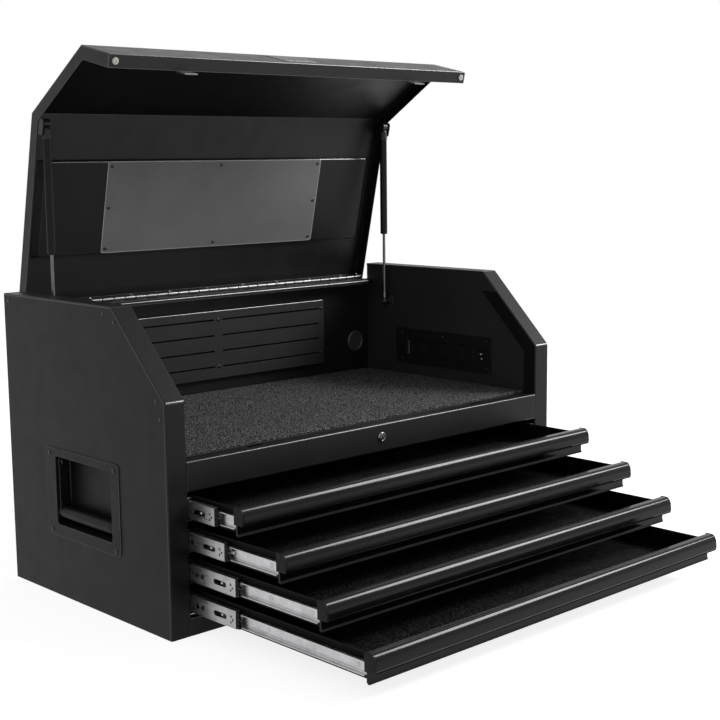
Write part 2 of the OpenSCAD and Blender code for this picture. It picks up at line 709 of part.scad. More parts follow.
// Moulded caps that close the pull's ends
cap_back = 3.6;
cap_out = 0.4;
module drawer_end_caps(i) color(plastic) drawer_placed(i) both_sides() across(front_x - cap_t, front_x)
  polygon(concat([[cap_back, front_h + cap_out]],
    arc([-pull_d + nose_r - cap_out, front_h + cap_out - nose_r], nose_r, 90, 180, 10),
    [[-pull_d - cap_out, front_h - nose_h + 2], [-pull_d + 3, front_h - nose_h - 1.2],
      [cap_back, front_h - nose_h - 1.2]]));

// Drawer members of the two slides
inner_len = tray_len - 16;
module channel(x0, x1, web_first, h, t, y0, y1) difference() {
  block([x0, y0, slide_z - h / 2], [x1, y1, slide_z + h / 2]);
  block([web_first ? x0 + t : x0 - 1, y0 - 1, slide_z - h / 2 + t],
    [web_first ? x1 + 1 : x1 - t, y1 + 1, slide_z + h / 2 - t]);
}
module drawer_runners(i) color(zinc) drawer_placed(i) both_sides()
  channel(box_x, box_x + 7.7, true, inner_h, slide_sheet, 8, 8 + inner_len);
module drawer_liner(i) color(mat_grey) drawer_placed(i)
  block([-box_x + tray_sheet + 1.5, 2 * tray_sheet + 1.5, tray_lift + tray_sheet],
    [box_x - tray_sheet - 1.5, tray_len - tray_sheet - 1.5, tray_lift + tray_sheet + pad_t]);

// Middle member: channel, slotted holes and the ball cages above and below its flanges
mid_len = tray_len - 12;
mid_y = cap_back + 0.9;
cage_len = 120;
mid_x1 = bay_x - 2.8;
mid_x0 = mid_x1 - 8.6;
outer_gap = (outer_h - mid_h) / 2 - slide_sheet;
// Strip of ball cage between the heights h0 and h1 from the slide's middle, above or below it
module cage(x0, x1, y, h0, h1, top)
  block([x0, y, slide_z + (top ? h0 : -h1)], [x1, y + cage_len, slide_z + (top ? h1 : -h0)]);
module slide_middle(i) color(zinc) placed() translate([0, -mid_travels[i - 1], drawer_z(i)]) both_sides() {
  difference() {
    channel(mid_x0, mid_x1, false, mid_h, slide_sheet, mid_y, mid_y + mid_len);
    for (k = [0:5]) let(y = 30 + k * 60) {
      block([mid_x1 - 3, y, slide_z - 3], [mid_x1 + 1, y + 22, slide_z + 3]);
    }
  }
  for (top = [false, true]) {
    cage(mid_x0 + 2, mid_x1 - 2, mid_y + mid_len - cage_len, mid_h / 2, mid_h / 2 + outer_gap - ball_gap, top);
    cage(mid_x0 + 1, mid_x0 + 5.5, mid_y + 1, inner_h / 2 + ball_gap, mid_h / 2 - slide_sheet, top);
  }
}

// Cabinet members, fixed to the return and the liner by spacers
module slide_channels() color(zinc) placed() for (i = [1:drawers]) translate([0, 0, drawer_z(i)]) both_sides() {
  channel(bay_x - 10, bay_x, false, outer_h, slide_sheet, mid_y, 10 + tray_len);
  for (y = [tray_len / 2, tray_len - 30])
    block([bay_x - eps, y, slide_z - 8], [liner_x, y + 30, slide_z + 8]);
}

side_panel_left();
side_panel_right();
liner_left();
liner_right();
back_panel();
base_pan();
top_rail();
compartment_floor();
compartment_mat();
vent_panel();
cable_grommet();
power_strip();
hinge_leaf_cabinet();
hinge_pin();
lock_body();
handle_pocket_left();
handle_pocket_right();
cabinet_screws();
slide_channels();
strut_studs_cabinet();
lid_shell();
lid_stiffener();
lid_plate();
lid_screws();
lid_bumpers();
lid_hooks();
hinge_leaf_lid();
strut_studs_lid();
strut_rod_left();
strut_rod_right();
strut_tube_left();
strut_tube_right();
drawer_tray(1);  // drawer_1_tray
drawer_tray(2);  // drawer_2_tray
drawer_tray(3);  // drawer_3_tray
drawer_tray(4);  // drawer_4_tray
drawer_pull(1);  // drawer_1_pull
drawer_pull(2);  // drawer_2_pull
drawer_pull(3);  // drawer_3_pull
drawer_pull(4);  // drawer_4_pull
drawer_end_caps(1);  // drawer_1_end_caps
drawer_end_caps(2);  // drawer_2_end_caps
drawer_end_caps(3);  // drawer_3_end_caps
drawer_end_caps(4);  // drawer_4_end_caps
drawer_runners(1);  // drawer_1_runners
drawer_runners(2);  // drawer_2_runners
drawer_runners(3);  // drawer_3_runners
drawer_runners(4);  // drawer_4_runners
drawer_liner(1);  // drawer_1_liner
drawer_liner(2);  // drawer_2_liner
drawer_liner(3);  // drawer_3_liner
drawer_liner(4);  // drawer_4_liner
slide_middle(1);  // slide_1_middle
slide_middle(2);  // slide_2_middle
slide_middle(3);  // slide_3_middle
slide_middle(4);  // slide_4_middle
handle_bail_left();
handle_bail_right();
lock_plug();
power_switch();
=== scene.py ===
"""Looks of the machinist tool chest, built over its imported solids.

Every length in the classes below is in millimetres, measured from the chest's front plane (y),
its middle (x) and the surface that it stands on (z). A Shape turns them into metres in the part's frame.
"""

import logging
import math
from dataclasses import dataclass
from enum import Enum
from typing import Any, Callable, Iterable, Sequence

import bmesh
import bpy
from mathutils import Matrix, Vector

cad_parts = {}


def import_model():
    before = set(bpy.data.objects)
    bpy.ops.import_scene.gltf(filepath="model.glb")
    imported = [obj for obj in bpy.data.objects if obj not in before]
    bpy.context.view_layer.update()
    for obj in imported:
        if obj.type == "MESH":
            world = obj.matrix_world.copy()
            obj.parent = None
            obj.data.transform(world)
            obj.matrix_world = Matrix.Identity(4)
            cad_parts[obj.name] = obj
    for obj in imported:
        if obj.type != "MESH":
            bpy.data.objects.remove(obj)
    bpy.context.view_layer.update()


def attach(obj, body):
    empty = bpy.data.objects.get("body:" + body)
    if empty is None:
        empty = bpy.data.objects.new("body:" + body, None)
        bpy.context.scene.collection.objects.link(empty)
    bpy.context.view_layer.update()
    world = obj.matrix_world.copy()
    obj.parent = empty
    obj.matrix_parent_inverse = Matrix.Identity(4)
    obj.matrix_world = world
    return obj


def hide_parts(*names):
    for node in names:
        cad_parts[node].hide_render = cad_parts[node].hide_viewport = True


log = logging.getLogger("tool_chest")

Point2 = tuple[float, float]
Point3 = tuple[float, float, float]
Colour = tuple[float, float, float]
Outline = list[Point2]
Socket = bpy.types.NodeSocket


class Side(Enum):
    """A side of the chest, with the sign of its x."""

    LEFT = -1
    RIGHT = 1

    @property
    def word(self) -> str:
        """Name of the side in node and piece names."""
        return self.name.lower()


class Axis(Enum):
    """Direction along which an outline is stretched or a profile is turned."""

    X = 0
    Y = 1
    Z = 2


@dataclass(frozen=True)
class Chest:
    """Sizes that several sub-assemblies share."""

    half_w: float = 457.0
    depth: float = 478.0
    height: float = 514.0
    sheet: float = 1.2
    bay_x: float = 419.0
    slope_z: float = 376.0
    slope_y: float = 138.0
    rail_z: float = 231.2
    rail_top: float = 280.2
    hinge_y: float = 478.8
    hinge_z: float = 485.6
    lid_open: float = 77.0
    back_y: float = 476.8
    shelf_z: float = 481.1
    hook_x: float = 268.0
    lock_z: float = 257.0
    drawer_z: float = 32.5
    pitch: float = 50.3
    slide_z: float = 19.5
    strut_foot: Point2 = (404.2, 437.9)
    strip_y: tuple[float, float] = (114.0, 386.0)
    strip_z: tuple[float, float] = (306.2, 381.2)

    @property
    def liner_x(self) -> float:
        """Inner face of the side walls' liners."""
        return self.bay_x + self.sheet

    @property
    def strip_window(self) -> tuple[float, float, float, float]:
        """Opening for the outlet strip in the right wall: its low y and z, then its high y and z."""
        (y0, y1), (z0, z1) = self.strip_y, self.strip_z
        return (y0 + 12, z0 + 16, y1 - 32, z1 - 22)

    @property
    def switch(self) -> Point2:
        """Middle of the outlet strip's rocker, in y and z."""
        _, z0, _, z1 = self.strip_window
        return (self.strip_y[0] + 29, (z0 + z1) / 2)

    def slope_point(self, z: float, t: float) -> Point2:
        """Point of the slope at height z, moved inwards by t."""
        return (z - self.slope_z + t * math.sqrt(2), z)

    def bend_low(self, t: float) -> Point2:
        """Foot of the slope, moved inwards by t."""
        return (t, self.slope_z - t * math.tan(math.radians(22.5)))

    def bend_high(self, t: float) -> Point2:
        """Top of the slope, moved inwards by t."""
        return (self.slope_y + t * math.tan(math.radians(22.5)), self.height - t)


CHEST = Chest()

# Each drawer from the top: its number, how far it stands open and how far its slides' middle members do.
DRAWERS: tuple[tuple[int, float, float], ...] = (
    (1, 115.5, 76.0),
    (2, 212.7, 99.0),
    (3, 301.5, 124.0),
    (4, 397.0, 123.0),
)

# Radius of the small face that closes the end of a turned profile.
CLOSED_END = 0.01

# Shortest side that can have a round corner, and the least turn from straight that is rounded.
SHORT_SIDE = 1e-6
NEARLY_STRAIGHT = 1e-3


# ---- Outlines ----


def fillet(points: Sequence[Point2], radius: float | Sequence[float], steps: int = 4) -> Outline:
    """Rounds the corners of a closed outline.

    Args:
        points: Corners in order.
        radius: One radius, or one for each corner.
        steps: Straight pieces in each rounded corner.

    Returns:
        The outline with arcs in place of its corners.
    """
    radii = [radius] * len(points) if isinstance(radius, (int, float)) else list(radius)
    out: Outline = []
    for i, corner in enumerate(points):
        before, after = Vector(points[i - 1]), Vector(points[(i + 1) % len(points)])
        out.extend(round_corner(before, Vector(corner), after, radii[i], steps))
    return out


def round_corner(before: Vector, corner: Vector, after: Vector, radius: float, steps: int) -> Outline:
    """Points of the arc that replaces one corner.

    Args:
        before: Point ahead of the corner.
        corner: The corner.
        after: Point past the corner.
        radius: Radius of the arc, or 0 for a sharp corner.
        steps: Straight pieces in the arc.

    Returns:
        The arc's points, or the corner alone.
    """
    u, v = (before - corner), (after - corner)
    if radius <= 0 or u.length < SHORT_SIDE or v.length < SHORT_SIDE:
        return [tuple(corner)]
    angle = u.angle(v)
    if angle > math.pi - NEARLY_STRAIGHT:
        return [tuple(corner)]
    reach = min(radius / math.tan(angle / 2), 0.49 * u.length, 0.49 * v.length)
    radius = reach * math.tan(angle / 2)
    u.normalize()
    v.normalize()
    centre = corner + (u + v).normalized() * (radius / math.sin(angle / 2))
    a, b = corner + u * reach - centre, corner + v * reach - centre
    turn = a.angle_signed(b)
    points = []
    for k in range(steps + 1):
        t = -turn * k / steps
        c, s = math.cos(t), math.sin(t)
        points.append((centre.x + a.x * c - a.y * s, centre.y + a.x * s + a.y * c))
    return points


def bent_sheet(path: Sequence[Point2], thickness: float, radius: float, steps: int = 5) -> Outline:
    """Closed outline of a folded sheet, seen edge on.

    Args:
        path: The sheet's outer face, as corners in order.
        thickness: Thickness, laid to the left of the path.
        radius: Outer radius of each fold.
        steps: Straight pieces in each fold.

    Returns:
        The outline, outer face first.
    """
    outer: Outline = [path[0]]
    for i in range(1, len(path) - 1):
        outer.extend(round_corner(Vector(path[i - 1]), Vector(path[i]), Vector(path[i + 1]), radius, steps))
    outer.append(path[-1])
    inner: Outline = []
    for i, p in enumerate(outer):
        a = Vector(outer[max(i - 1, 0)])
        b = Vector(outer[min(i + 1, len(outer) - 1)])
        here = Vector(p)
        d1 = (here - a).normalized() if i else (b - here).normalized()
        d2 = (b - here).normalized() if i < len(outer) - 1 else d1
        mean = (d1 + d2).normalized()
        scale = thickness / max(mean.dot(d1), 0.3)
        inner.append((p[0] - mean.y * scale, p[1] + mean.x * scale))
    return outer + inner[::-1]


def rectangle(u0: float, v0: float, u1: float, v1: float, radius: float = 0.0, steps: int = 5) -> Outline:
    """Outline of a rectangle with rounded corners.

    Args:
        u0: Low first coordinate.
        v0: Low second coordinate.
        u1: High first coordinate.
        v1: High second coordinate.
        radius: Radius of the corners.
        steps: Straight pieces in each corner.

    Returns:
        The outline, anticlockwise.
    """
    return fillet([(u0, v0), (u1, v0), (u1, v1), (u0, v1)], radius, steps)


def ring(u: float, v: float, radius: float, count: int = 32) -> Outline:
    """Outline of a circle of that many points."""
    turns = [math.tau * k / count for k in range(count)]
    return [(u + radius * math.cos(a), v + radius * math.sin(a)) for a in turns]


def quarter(steps: int) -> list[float]:
    """Angles of a quarter turn in equal steps, both ends included."""
    return [math.pi / 2 * k / steps for k in range(steps + 1)]


def oval(u0: float, u1: float, v: float, half: float, count: int = 8) -> Outline:
    """Outline of a slot with round ends, from u0 to u1, half its height either side of v."""
    return rectangle(u0, v - half, u1, v + half, half * 0.98, count)


# ---- Meshes ----


class Shape:
    """Faces gathered in chest millimetres before they become one mesh."""

    def __init__(self) -> None:
        """Starts empty."""
        self.points: list[Point3] = []
        self.faces: list[list[int]] = []

    def add(self, points: Iterable[Point3], faces: Iterable[Sequence[int]]) -> "Shape":
        """Adds points and the faces between them.

        Args:
            points: New points.
            faces: Faces as positions in those points.

        Returns:
            The shape itself.
        """
        base = len(self.points)
        self.points.extend(points)
        self.faces.extend([base + i for i in f] for f in faces)
        return self

    def rings(self, loops: Sequence[Sequence[Point3]], caps: bool = True) -> "Shape":
        """Joins closed loops of equal count into a skin.

        Args:
            loops: The loops in order.
            caps: Whether the first and last loop are filled.

        Returns:
            The shape itself.
        """
        n = len(loops[0])
        points = [p for loop in loops for p in loop]
        faces: list[list[int]] = []
        for r in range(len(loops) - 1):
            for i in range(n):
                j = (i + 1) % n
                faces.append([r * n + i, r * n + j, (r + 1) * n + j, (r + 1) * n + i])
        if caps:
            faces.append(list(range(n))[::-1])
            faces.append([(len(loops) - 1) * n + i for i in range(n)])
        return self.add(points, faces)

    def prism(self, outline: Sequence[Point2], axis: Axis, lo: float, hi: float) -> "Shape":
        """Stretches an outline along an axis.

        Args:
            outline: Points in the two other coordinates, in X, Y, Z order.
            axis: Direction of the stretch.
            lo: Start along it.
            hi: End along it.

        Returns:
            The shape itself.
        """
        return self.rings([[place(u, v, w, axis) for u, v in outline] for w in (lo, hi)])

    def block(self, lo: Point3, hi: Point3) -> "Shape":
        """Adds a box given by its low and high corners."""
        corners = [(lo[0], lo[1]), (hi[0], lo[1]), (hi[0], hi[1]), (lo[0], hi[1])]
        return self.prism(corners, Axis.Z, lo[2], hi[2])

    def turned(
        self, profile: Sequence[Point2], centre: Point3, axis: Axis, sense: int = 1, count: int = 40
    ) -> "Shape":
        """Turns a profile about an axis through a point.

        Args:
            profile: Pairs of distance along the axis and radius; a radius of 0 closes an end.
            centre: Point where the distance is 0.
            axis: Direction of the axis.
            sense: 1 or -1, the way that distances run along it.
            count: Straight pieces round the axis.

        Returns:
            The shape itself.
        """
        loops = []
        for along, radius in profile:
            wide = max(radius, CLOSED_END)
            loops.append([turn_point(centre, axis, along * sense, wide, k, count) for k in range(count)])
        return self.rings(loops)

    def plate(
        self,
        outline: Sequence[Point2],
        holes: Sequence[Sequence[Point2]],
        axis: Axis,
        lo: float,
        hi: float,
        edge: float = 0.0,
    ) -> "Shape":
        """Adds a flat plate with holes and softened edges.

        Args:
            outline: Outer outline in the two other coordinates.
            holes: Outlines of the holes.
            axis: Direction of the thickness.
            lo: Low face along it.
            hi: High face along it.
            edge: Radius of the rounded edges.

        Returns:
            The shape itself.
        """
        curve = bpy.data.curves.new("plate_outline", "CURVE")
        curve.dimensions = "2D"
        curve.fill_mode = "BOTH"
        curve.extrude = max((hi - lo) / 2 - edge, 0.0)
        curve.bevel_depth = edge
        curve.bevel_resolution = 2
        curve.offset = -edge
        for loop in [outline, *holes]:
            spline = curve.splines.new("POLY")
            spline.points.add(len(loop) - 1)
            for point, (u, v) in zip(spline.points, loop):
                point.co = (u, v, 0.0, 1.0)
            spline.use_cyclic_u = True
        holder = bpy.data.objects.new("plate_outline", curve)
        bpy.context.scene.collection.objects.link(holder)
        graph = bpy.context.evaluated_depsgraph_get()
        mesh = bpy.data.meshes.new_from_object(holder.evaluated_get(graph))
        middle = (lo + hi) / 2
        points = [place(v.co.x, v.co.y, v.co.z + middle, axis) for v in mesh.vertices]
        faces = [list(p.vertices) for p in mesh.polygons]
        bpy.data.objects.remove(holder)
        bpy.data.curves.remove(curve)
        bpy.data.meshes.remove(mesh)
        return self.add(points, faces)

    def tube(self, path: Sequence[Point3], radius: float, count: int = 24) -> "Shape":
        """Runs a round bar along a path.

        Args:
            path: Points of the centre line.
            radius: Radius of the bar.
            count: Straight pieces round it.

        Returns:
            The shape itself.
        """
        pts = [Vector(p) for p in path]
        loops = []
        normal = Vector((1, 0, 0))
        for i, p in enumerate(pts):
            d = (pts[min(i + 1, len(pts) - 1)] - pts[max(i - 1, 0)]).normalized()
            along = normal.dot(d)
            normal = (normal - d * along).normalized() if abs(along) < 0.95 else d.orthogonal()
            other = d.cross(normal)
            loops.append(
                [
                    tuple(p + normal * radius * math.cos(a) + other * radius * math.sin(a))
                    for a in (math.tau * k / count for k in range(count))
                ]
            )
        return self.rings(loops)

    def join(self, other: "Shape") -> "Shape":
        """Adds another shape's faces."""
        return self.add(other.points, other.faces)

    def moved(self, change: Callable[[Point3], Point3]) -> "Shape":
        """A copy with every point passed through a function."""
        copy = Shape()
        copy.points = [change(p) for p in self.points]
        copy.faces = [list(f) for f in self.faces]
        return copy

    def on(self, side: Side) -> "Shape":
        """A copy, drawn for the right, set on the given side."""
        return self.moved(lambda p: (p[0] * side.value, p[1], p[2]))

    def both(self) -> "Shape":
        """A copy drawn on both sides."""
        return self.on(Side.LEFT).join(self)

    def opened(self) -> "Shape":
        """A copy, drawn on the closed lid, swung to where the lid stands open."""
        turn = math.radians(-CHEST.lid_open)
        c, s = math.cos(turn), math.sin(turn)

        def swing(p: Point3) -> Point3:
            """Turns one point about the hinge."""
            y, z = p[1] - CHEST.hinge_y, p[2] - CHEST.hinge_z
            return (p[0], CHEST.hinge_y + y * c - z * s, CHEST.hinge_z + y * s + z * c)

        return self.moved(swing)


def place(u: float, v: float, w: float, axis: Axis) -> Point3:
    """Point whose coordinate along an axis is w, and whose others are u and v in X, Y, Z order."""
    if axis is Axis.X:
        return (w, u, v)
    if axis is Axis.Y:
        return (u, w, v)
    return (u, v, w)


def turn_point(centre: Point3, axis: Axis, along: float, radius: float, k: int, count: int) -> Point3:
    """Point k of count on a circle about an axis, at a distance along it."""
    a = math.tau * k / count
    u, v = radius * math.cos(a), radius * math.sin(a)
    return add(centre, place(u, v, along, axis))


# ---- Finishes ----


def add_node(
    tree: bpy.types.NodeTree,
    kind: str,
    values: dict[str | int, Any] | None = None,
    wires: dict[str | int, Socket] | None = None,
    **settings: str | int,
) -> bpy.types.Node:
    """Adds a shader node to a tree.

    Args:
        tree: The tree.
        kind: The node's type, without the words that every type starts with.
        values: Values of its inputs, by name or position.
        wires: Sockets that feed its inputs, by name or position.
        **settings: Its own settings, made before the rest.

    Returns:
        The node.
    """
    node = tree.nodes.new(f"ShaderNode{kind}")
    for name, setting in settings.items():
        setattr(node, name, setting)
    for key, value in (values or {}).items():
        node.inputs[key].default_value = value
    for key, source in (wires or {}).items():
        tree.links.new(source, node.inputs[key])
    return node


class Nodes:
    """Small helper that lays out a material's nodes."""

    def __init__(self, name: str) -> None:
        """Makes the material with its shader and object coordinates.

        Args:
            name: Name of the material.
        """
        self.material = bpy.data.materials.new(name)
        self.material.use_nodes = True
        self.tree = self.material.node_tree
        self.shader = self.tree.nodes["Principled BSDF"]
        self.where = self.tree.nodes.new("ShaderNodeTexCoord").outputs["Object"]

    def put(self, **values: float | tuple[float, ...]) -> None:
        """Sets the shader's own sockets; an underscore stands for a space."""
        for key, value in values.items():
            self.shader.inputs[key.replace("_", " ")].default_value = value

    def link(self, start: Socket, end: Socket) -> None:
        """Joins two sockets."""
        self.tree.links.new(start, end)

    def feed(self, name: str, value: Socket) -> None:
        """Feeds one of the shader's inputs."""
        self.link(value, self.shader.inputs[name])

    def add(
        self,
        kind: str,
        values: dict[str | int, Any] | None = None,
        wires: dict[str | int, Socket] | None = None,
        **settings: str | int,
    ) -> bpy.types.Node:
        """Adds a node to the material, as add_node does."""
        return add_node(self.tree, kind, values, wires, **settings)

    def noise(
        self, scale: float, detail: float = 2.0, rough: float = 0.5, stretch: Point3 = (1, 1, 1)
    ) -> Socket:
        """Adds a noise texture.

        Args:
            scale: Repeats per metre.
            detail: Octaves.
            rough: Strength of the finer octaves.
            stretch: Factors on the three coordinates.

        Returns:
            The noise value's socket.
        """
        values = {"Scale": scale, "Detail": detail, "Roughness": rough}
        return self.add("TexNoise", values, {"Vector": self.stretched(stretch)}).outputs["Fac"]

    def stretched(self, stretch: Point3) -> Socket:
        """Object coordinates with a factor on each."""
        if stretch == (1, 1, 1):
            return self.where
        return self.add("Mapping", {"Scale": stretch}, {"Vector": self.where}).outputs["Vector"]

    def cells(self, scale: float) -> Socket:
        """Distance to the nearest of scattered points, for grain and pebbles."""
        return self.add("TexVoronoi", {"Scale": scale}, {"Vector": self.where}).outputs["Distance"]

    def ramp(self, value: Socket, stops: Sequence[tuple[float, Sequence[float]]]) -> Socket:
        """Maps a value to colours.

        Args:
            value: The value's socket.
            stops: Pairs of position and colour.

        Returns:
            The colour's socket.
        """
        node = self.add("ValToRGB", wires={"Fac": value})
        bar = node.color_ramp
        while len(bar.elements) < len(stops):
            bar.elements.new(0.5)
        for element, (position, colour) in zip(bar.elements, stops):
            element.position = position
            element.color = (*colour, 1.0)
        return node.outputs["Color"]

    def spread(self, value: Socket, low: float, high: float) -> Socket:
        """Maps a value of 0.3 to 0.7 on to the given range."""
        values = {"From Min": 0.3, "From Max": 0.7, "To Min": low, "To Max": high}
        return self.add("MapRange", values, {"Value": value}).outputs["Result"]

    def bump(self, value: Socket, depth: float, strength: float = 1.0) -> None:
        """Raises the surface by a value.

        Args:
            value: The height's socket.
            depth: Height in metres.
            strength: Weight of the effect.
        """
        node = self.add("Bump", {"Distance": depth, "Strength": strength}, {"Height": value})
        previous = self.shader.inputs["Normal"]
        if previous.is_linked:
            self.link(previous.links[0].from_socket, node.inputs["Normal"])
        self.link(node.outputs["Normal"], previous)

    def edges(self, radius: float) -> Socket:
        """Value that rises to 1 on edges sharper than the given radius in metres."""
        rounded = self.add("Bevel", {"Radius": radius}, samples=4).outputs["Normal"]
        flat = self.add("NewGeometry").outputs["Normal"]
        dot = self.add("VectorMath", wires={0: rounded, 1: flat}, operation="DOT_PRODUCT")
        span = {"From Min": 0.995, "From Max": 0.85}
        return self.add("MapRange", span, {"Value": dot.outputs["Value"]}).outputs["Result"]

    def folds(self) -> Socket:
        """Value that is 1 on the faces marked as folds."""
        return self.add("Attribute", attribute_name="fold").outputs["Fac"]

    def either(self, a: Socket, b: Socket) -> Socket:
        """The larger of two values."""
        return self.add("Math", wires={0: a, 1: b}, operation="MAXIMUM").outputs["Value"]

    def between(self, value: Socket, low: float, high: float) -> Socket:
        """Maps a value of 0 to 1 on to the given range."""
        return self.add("MapRange", {"To Min": low, "To Max": high}, {"Value": value}).outputs["Result"]

    def toward(self, value: Socket, goal: float, share: Socket) -> Socket:
        """Moves a value towards a goal by a share of 0 to 1."""
        return self.add("Mix", {"B": goal}, {"Factor": share, "A": value}).outputs["Result"]

    def tint(self, value: Socket, colour: Colour) -> None:
        """Mixes another colour into the base colour where a value is high."""
        base = self.shader.inputs["Base Color"]
        wires = {"Factor": value, "A": base.links[0].from_socket}
        node = self.add("Mix", {"B": (*colour, 1.0)}, wires, data_type="RGBA")
        self.link(node.outputs["Result"], base)

    def drift(self, colour: Colour, share: float, scale: float) -> None:
        """Lets the base colour wander a little over the surface.

        Args:
            colour: Mean colour.
            share: Part by which it wanders.
            scale: Repeats per metre.
        """
        low = [c * (1 - share) for c in colour]
        high = [c * (1 + share) for c in colour]
        self.feed("Base Color", self.ramp(self.noise(scale, 4.0, 0.6), [(0.3, low), (0.7, high)]))


class Grain(Enum):
    """Way that the grain of rolled or ground steel runs, as factors on the coordinates of its noise."""

    ACROSS = (0.04, 1.0, 1.0)
    ALONG = (1.0, 0.04, 1.0)
    UPRIGHT = (1.0, 1.0, 0.04)
    EVEN = (1.0, 1.0, 1.0)


@dataclass(frozen=True)
class PowderCoat:
    """Satin powder coat with fine orange peel, shinier on edges and folds, and with a painted highlight: a
    lighter base colour on sharp edges.
    """

    name: str
    colour: Colour
    rough: float = 0.42
    specular: float = 0.13
    peel: float = 0.00005
    # Base colour mixed in on sharp edges: a painted highlight.
    edge: float = 0.05
    shine: float = 0.9
    reach: float = 0.0016

    def material(self) -> bpy.types.Material:
        """Builds the material."""
        nodes = Nodes(self.name)
        nodes.drift(self.colour, 0.12, 9.0)
        edge, fold = nodes.edges(self.reach), nodes.folds()
        satin = nodes.spread(nodes.noise(26.0, 5.0, 0.6), self.rough - 0.05, self.rough + 0.06)
        nodes.feed("Roughness", nodes.toward(satin, 0.24, fold))
        worn = nodes.either(edge, fold)
        nodes.feed("Specular IOR Level", nodes.between(worn, self.specular, self.shine))
        # Painted highlight: sharp edges take the lighter edge colour.
        nodes.tint(edge, (self.edge, self.edge, self.edge))
        nodes.bump(nodes.noise(900.0, 2.0), self.peel)
        nodes.bump(nodes.noise(5.0, 1.0), 0.0006, 0.35)
        return nodes.material


@dataclass(frozen=True)
class Lacquer:
    """Glossy lacquer with a faint orange peel."""

    name: str
    colour: Colour
    rough: float = 0.22

    def material(self) -> bpy.types.Material:
        """Builds the material."""
        nodes = Nodes(self.name)
        nodes.put(Specular_IOR_Level=0.14)
        nodes.drift(self.colour, 0.1, 14.0)
        nodes.feed("Roughness", nodes.spread(nodes.noise(40.0, 4.0), self.rough - 0.03, self.rough + 0.05))
        nodes.bump(nodes.noise(260.0, 2.0), 0.00003)
        return nodes.material


@dataclass(frozen=True)
class PlatedSteel:
    """Rolled, plated or bare steel with its grain along one direction."""

    name: str
    colour: Colour
    rough: float = 0.3
    grain: Grain = Grain.ALONG

    def material(self) -> bpy.types.Material:
        """Builds the material."""
        nodes = Nodes(self.name)
        nodes.put(Metallic=1.0)
        nodes.drift(self.colour, 0.14, 60.0)
        streaks = nodes.noise(700.0, 3.0, 0.6, self.grain.value)
        nodes.feed("Roughness", nodes.spread(streaks, self.rough - 0.08, self.rough + 0.12))
        nodes.bump(nodes.noise(1400.0, 2.0, 0.6, self.grain.value), 0.00004)
        return nodes.material


@dataclass(frozen=True)
class Moulded:
    """Moulded plastic or rubber with a fine spark-eroded grain."""

    name: str
    colour: Colour
    rough: float = 0.45
    grain: float = 0.00004
    specular: float = 0.5

    def material(self) -> bpy.types.Material:
        """Builds the material."""
        nodes = Nodes(self.name)
        nodes.put(Specular_IOR_Level=self.specular)
        nodes.drift(self.colour, 0.1, 30.0)
        nodes.feed("Roughness", nodes.spread(nodes.noise(120.0, 3.0), self.rough - 0.05, self.rough + 0.06))
        nodes.bump(nodes.noise(1800.0, 1.0), self.grain)
        return nodes.material


@dataclass(frozen=True)
class PebbledMat:
    """Foamed non-slip mat with a pebbled, speckled face."""

    name: str
    dark: Colour
    light: Colour
    scale: float = 420.0

    def material(self) -> bpy.types.Material:
        """Builds the material."""
        nodes = Nodes(self.name)
        nodes.put(Specular_IOR_Level=0.1)
        speck = nodes.cells(self.scale)
        nodes.feed("Base Color", nodes.ramp(speck, [(0.1, self.light), (0.5, self.dark)]))
        nodes.feed("Roughness", nodes.spread(nodes.noise(50.0, 3.0), 0.55, 0.75))
        nodes.bump(nodes.ramp(speck, [(0.0, (1, 1, 1)), (0.7, (0, 0, 0))]), 0.0007)
        nodes.bump(nodes.noise(18.0, 2.0), 0.0008, 0.4)
        return nodes.material


